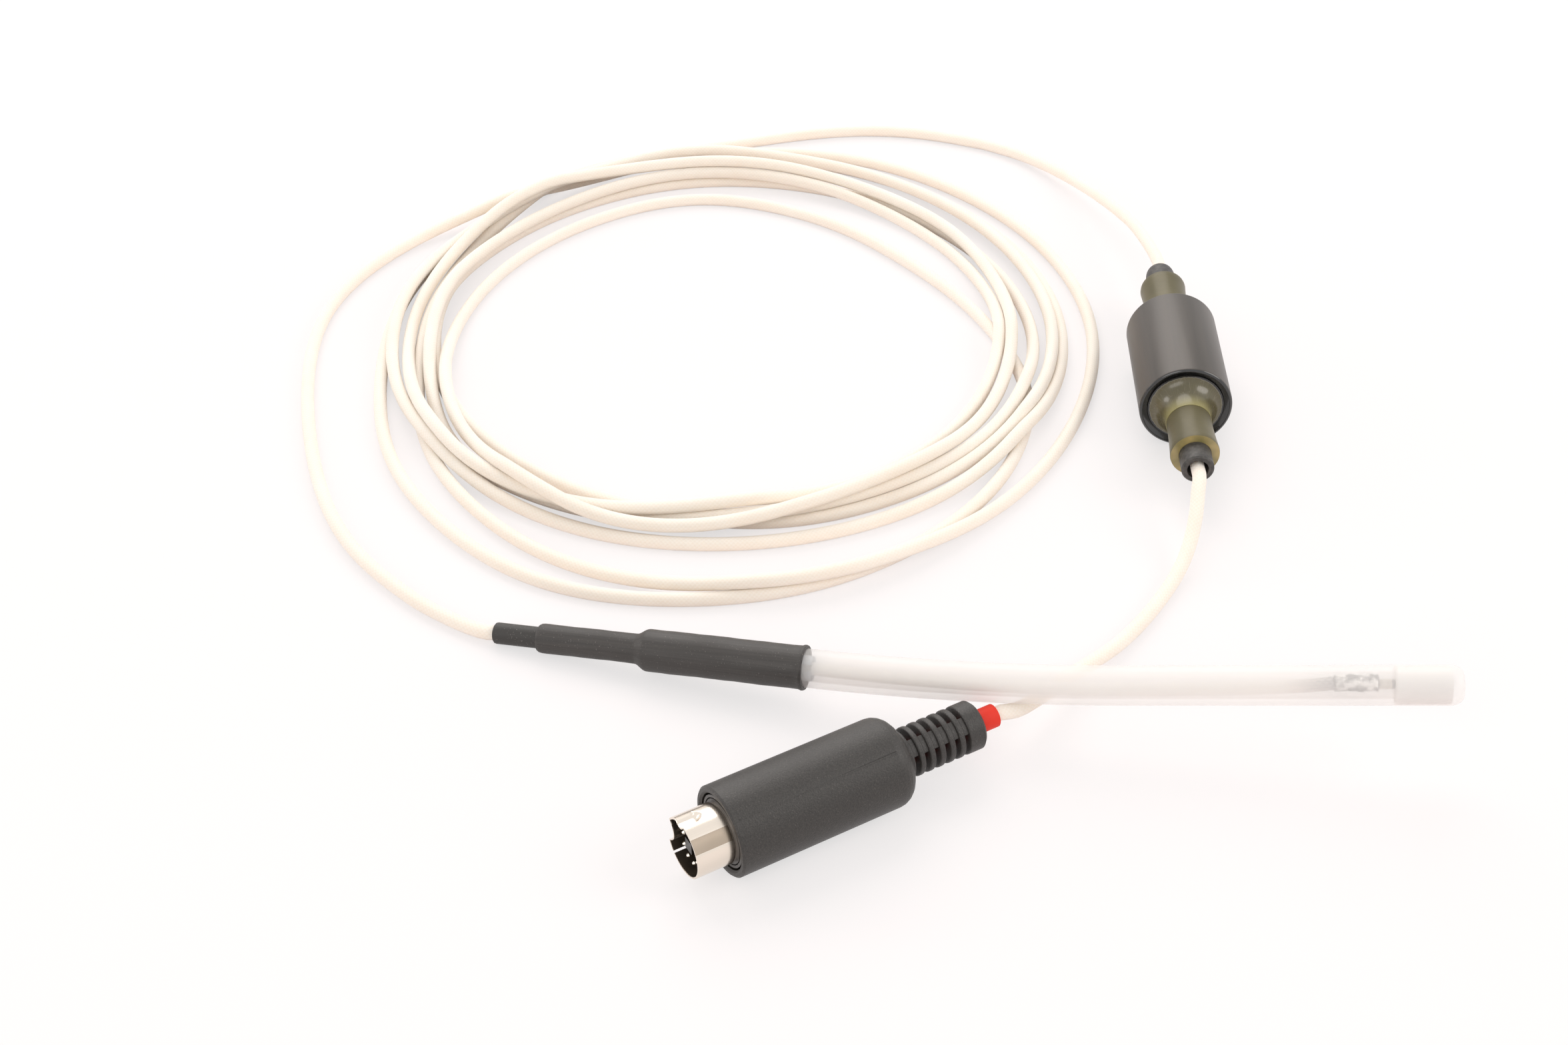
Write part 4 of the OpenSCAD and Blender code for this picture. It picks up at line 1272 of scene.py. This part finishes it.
stem_length = given("Length") - given("Tip")
stem = plan.add("GeometryNodeMeshCylinder", {
    "Vertices": PIN_SIDES, "Radius": given("Radius"), "Depth": stem_length})
tip = plan.add("GeometryNodeMeshCone", {
    "Vertices": PIN_SIDES, "Radius Bottom": given("Radius"), "Radius Top": given("Radius") * 0.5,
    "Depth": given("Tip")})
above = plan.add("ShaderNodeCombineXYZ", {"Z": stem_length * 0.5})
tip = plan.add("GeometryNodeTransform", {"Geometry": tip, "Translation": above})
joined = plan.add("GeometryNodeJoinGeometry")
for part in (tip, stem):
    tree.links.new(part.socket, joined.socket.node.inputs[0])
pin = plan.add("GeometryNodeSetShadeSmooth", {"Geometry": joined, "Shade Smooth": False})
placed = plan.add("GeometryNodeInstanceOnPoints", {
    "Points": given("Places"), "Instance": pin, "Rotation": given("Turn")})
solid = plan.add("GeometryNodeRealizeInstances", {"Geometry": placed})
solid = plan.add("GeometryNodeSetMaterial", {"Geometry": solid, "Material": given("Finish")})
plan.add("NodeGroupOutput", {"Pins": solid})
print("nodes in the tree:", len(tree.nodes))

# %% Pins set in the plug
pin_low, pin_high = node_reach("contact_pins", plug_place, plug_way)
far_side = -plug_line.side[0]
pin_length = pin_high - pin_low
stem_middle = (pin_high + pin_low + PIN_TIP) / 2
spots = [tuple(plug_place + (plug_way * stem_middle + far_side * y + np.array([0, 0, z])) * MM)
         for y, z in PIN_PLACES]
pins_mesh = bpy.data.meshes.new("contact_pins")
pins_mesh.from_pydata(spots, [], [])
pins_source = bpy.data.objects.new("pin_places", pins_mesh)
bpy.context.scene.collection.objects.link(pins_source)
modifier = pins_source.modifiers.new("pin_rows", "NODES")
modifier.node_group = tree
modifier[inputs["Radius"]] = PIN_R * MM
modifier[inputs["Length"]] = pin_length * MM
modifier[inputs["Tip"]] = PIN_TIP * MM
modifier[inputs["Turn"]] = tuple(Vector(-plug_way).to_track_quat("Z", "Y").to_euler())
modifier[inputs["Finish"]] = finishes["pin_metal"]
bpy.context.view_layer.update()
evaluated = pins_source.evaluated_get(bpy.context.evaluated_depsgraph_get())
pins = bpy.data.objects.new("contact_pins", bpy.data.meshes.new_from_object(evaluated))
bpy.context.scene.collection.objects.link(pins)
pins_source.modifiers.clear()
bpy.data.objects.remove(pins_source)
dress(pins, "pin_metal", "pin_metal", "contact_pins")

# %% [markdown]


# %% [markdown]
# ## The view
# The picture's colours are shown through Blender's Standard view.

# %% Standard view
bpy.context.scene.view_settings.view_transform = "Standard"
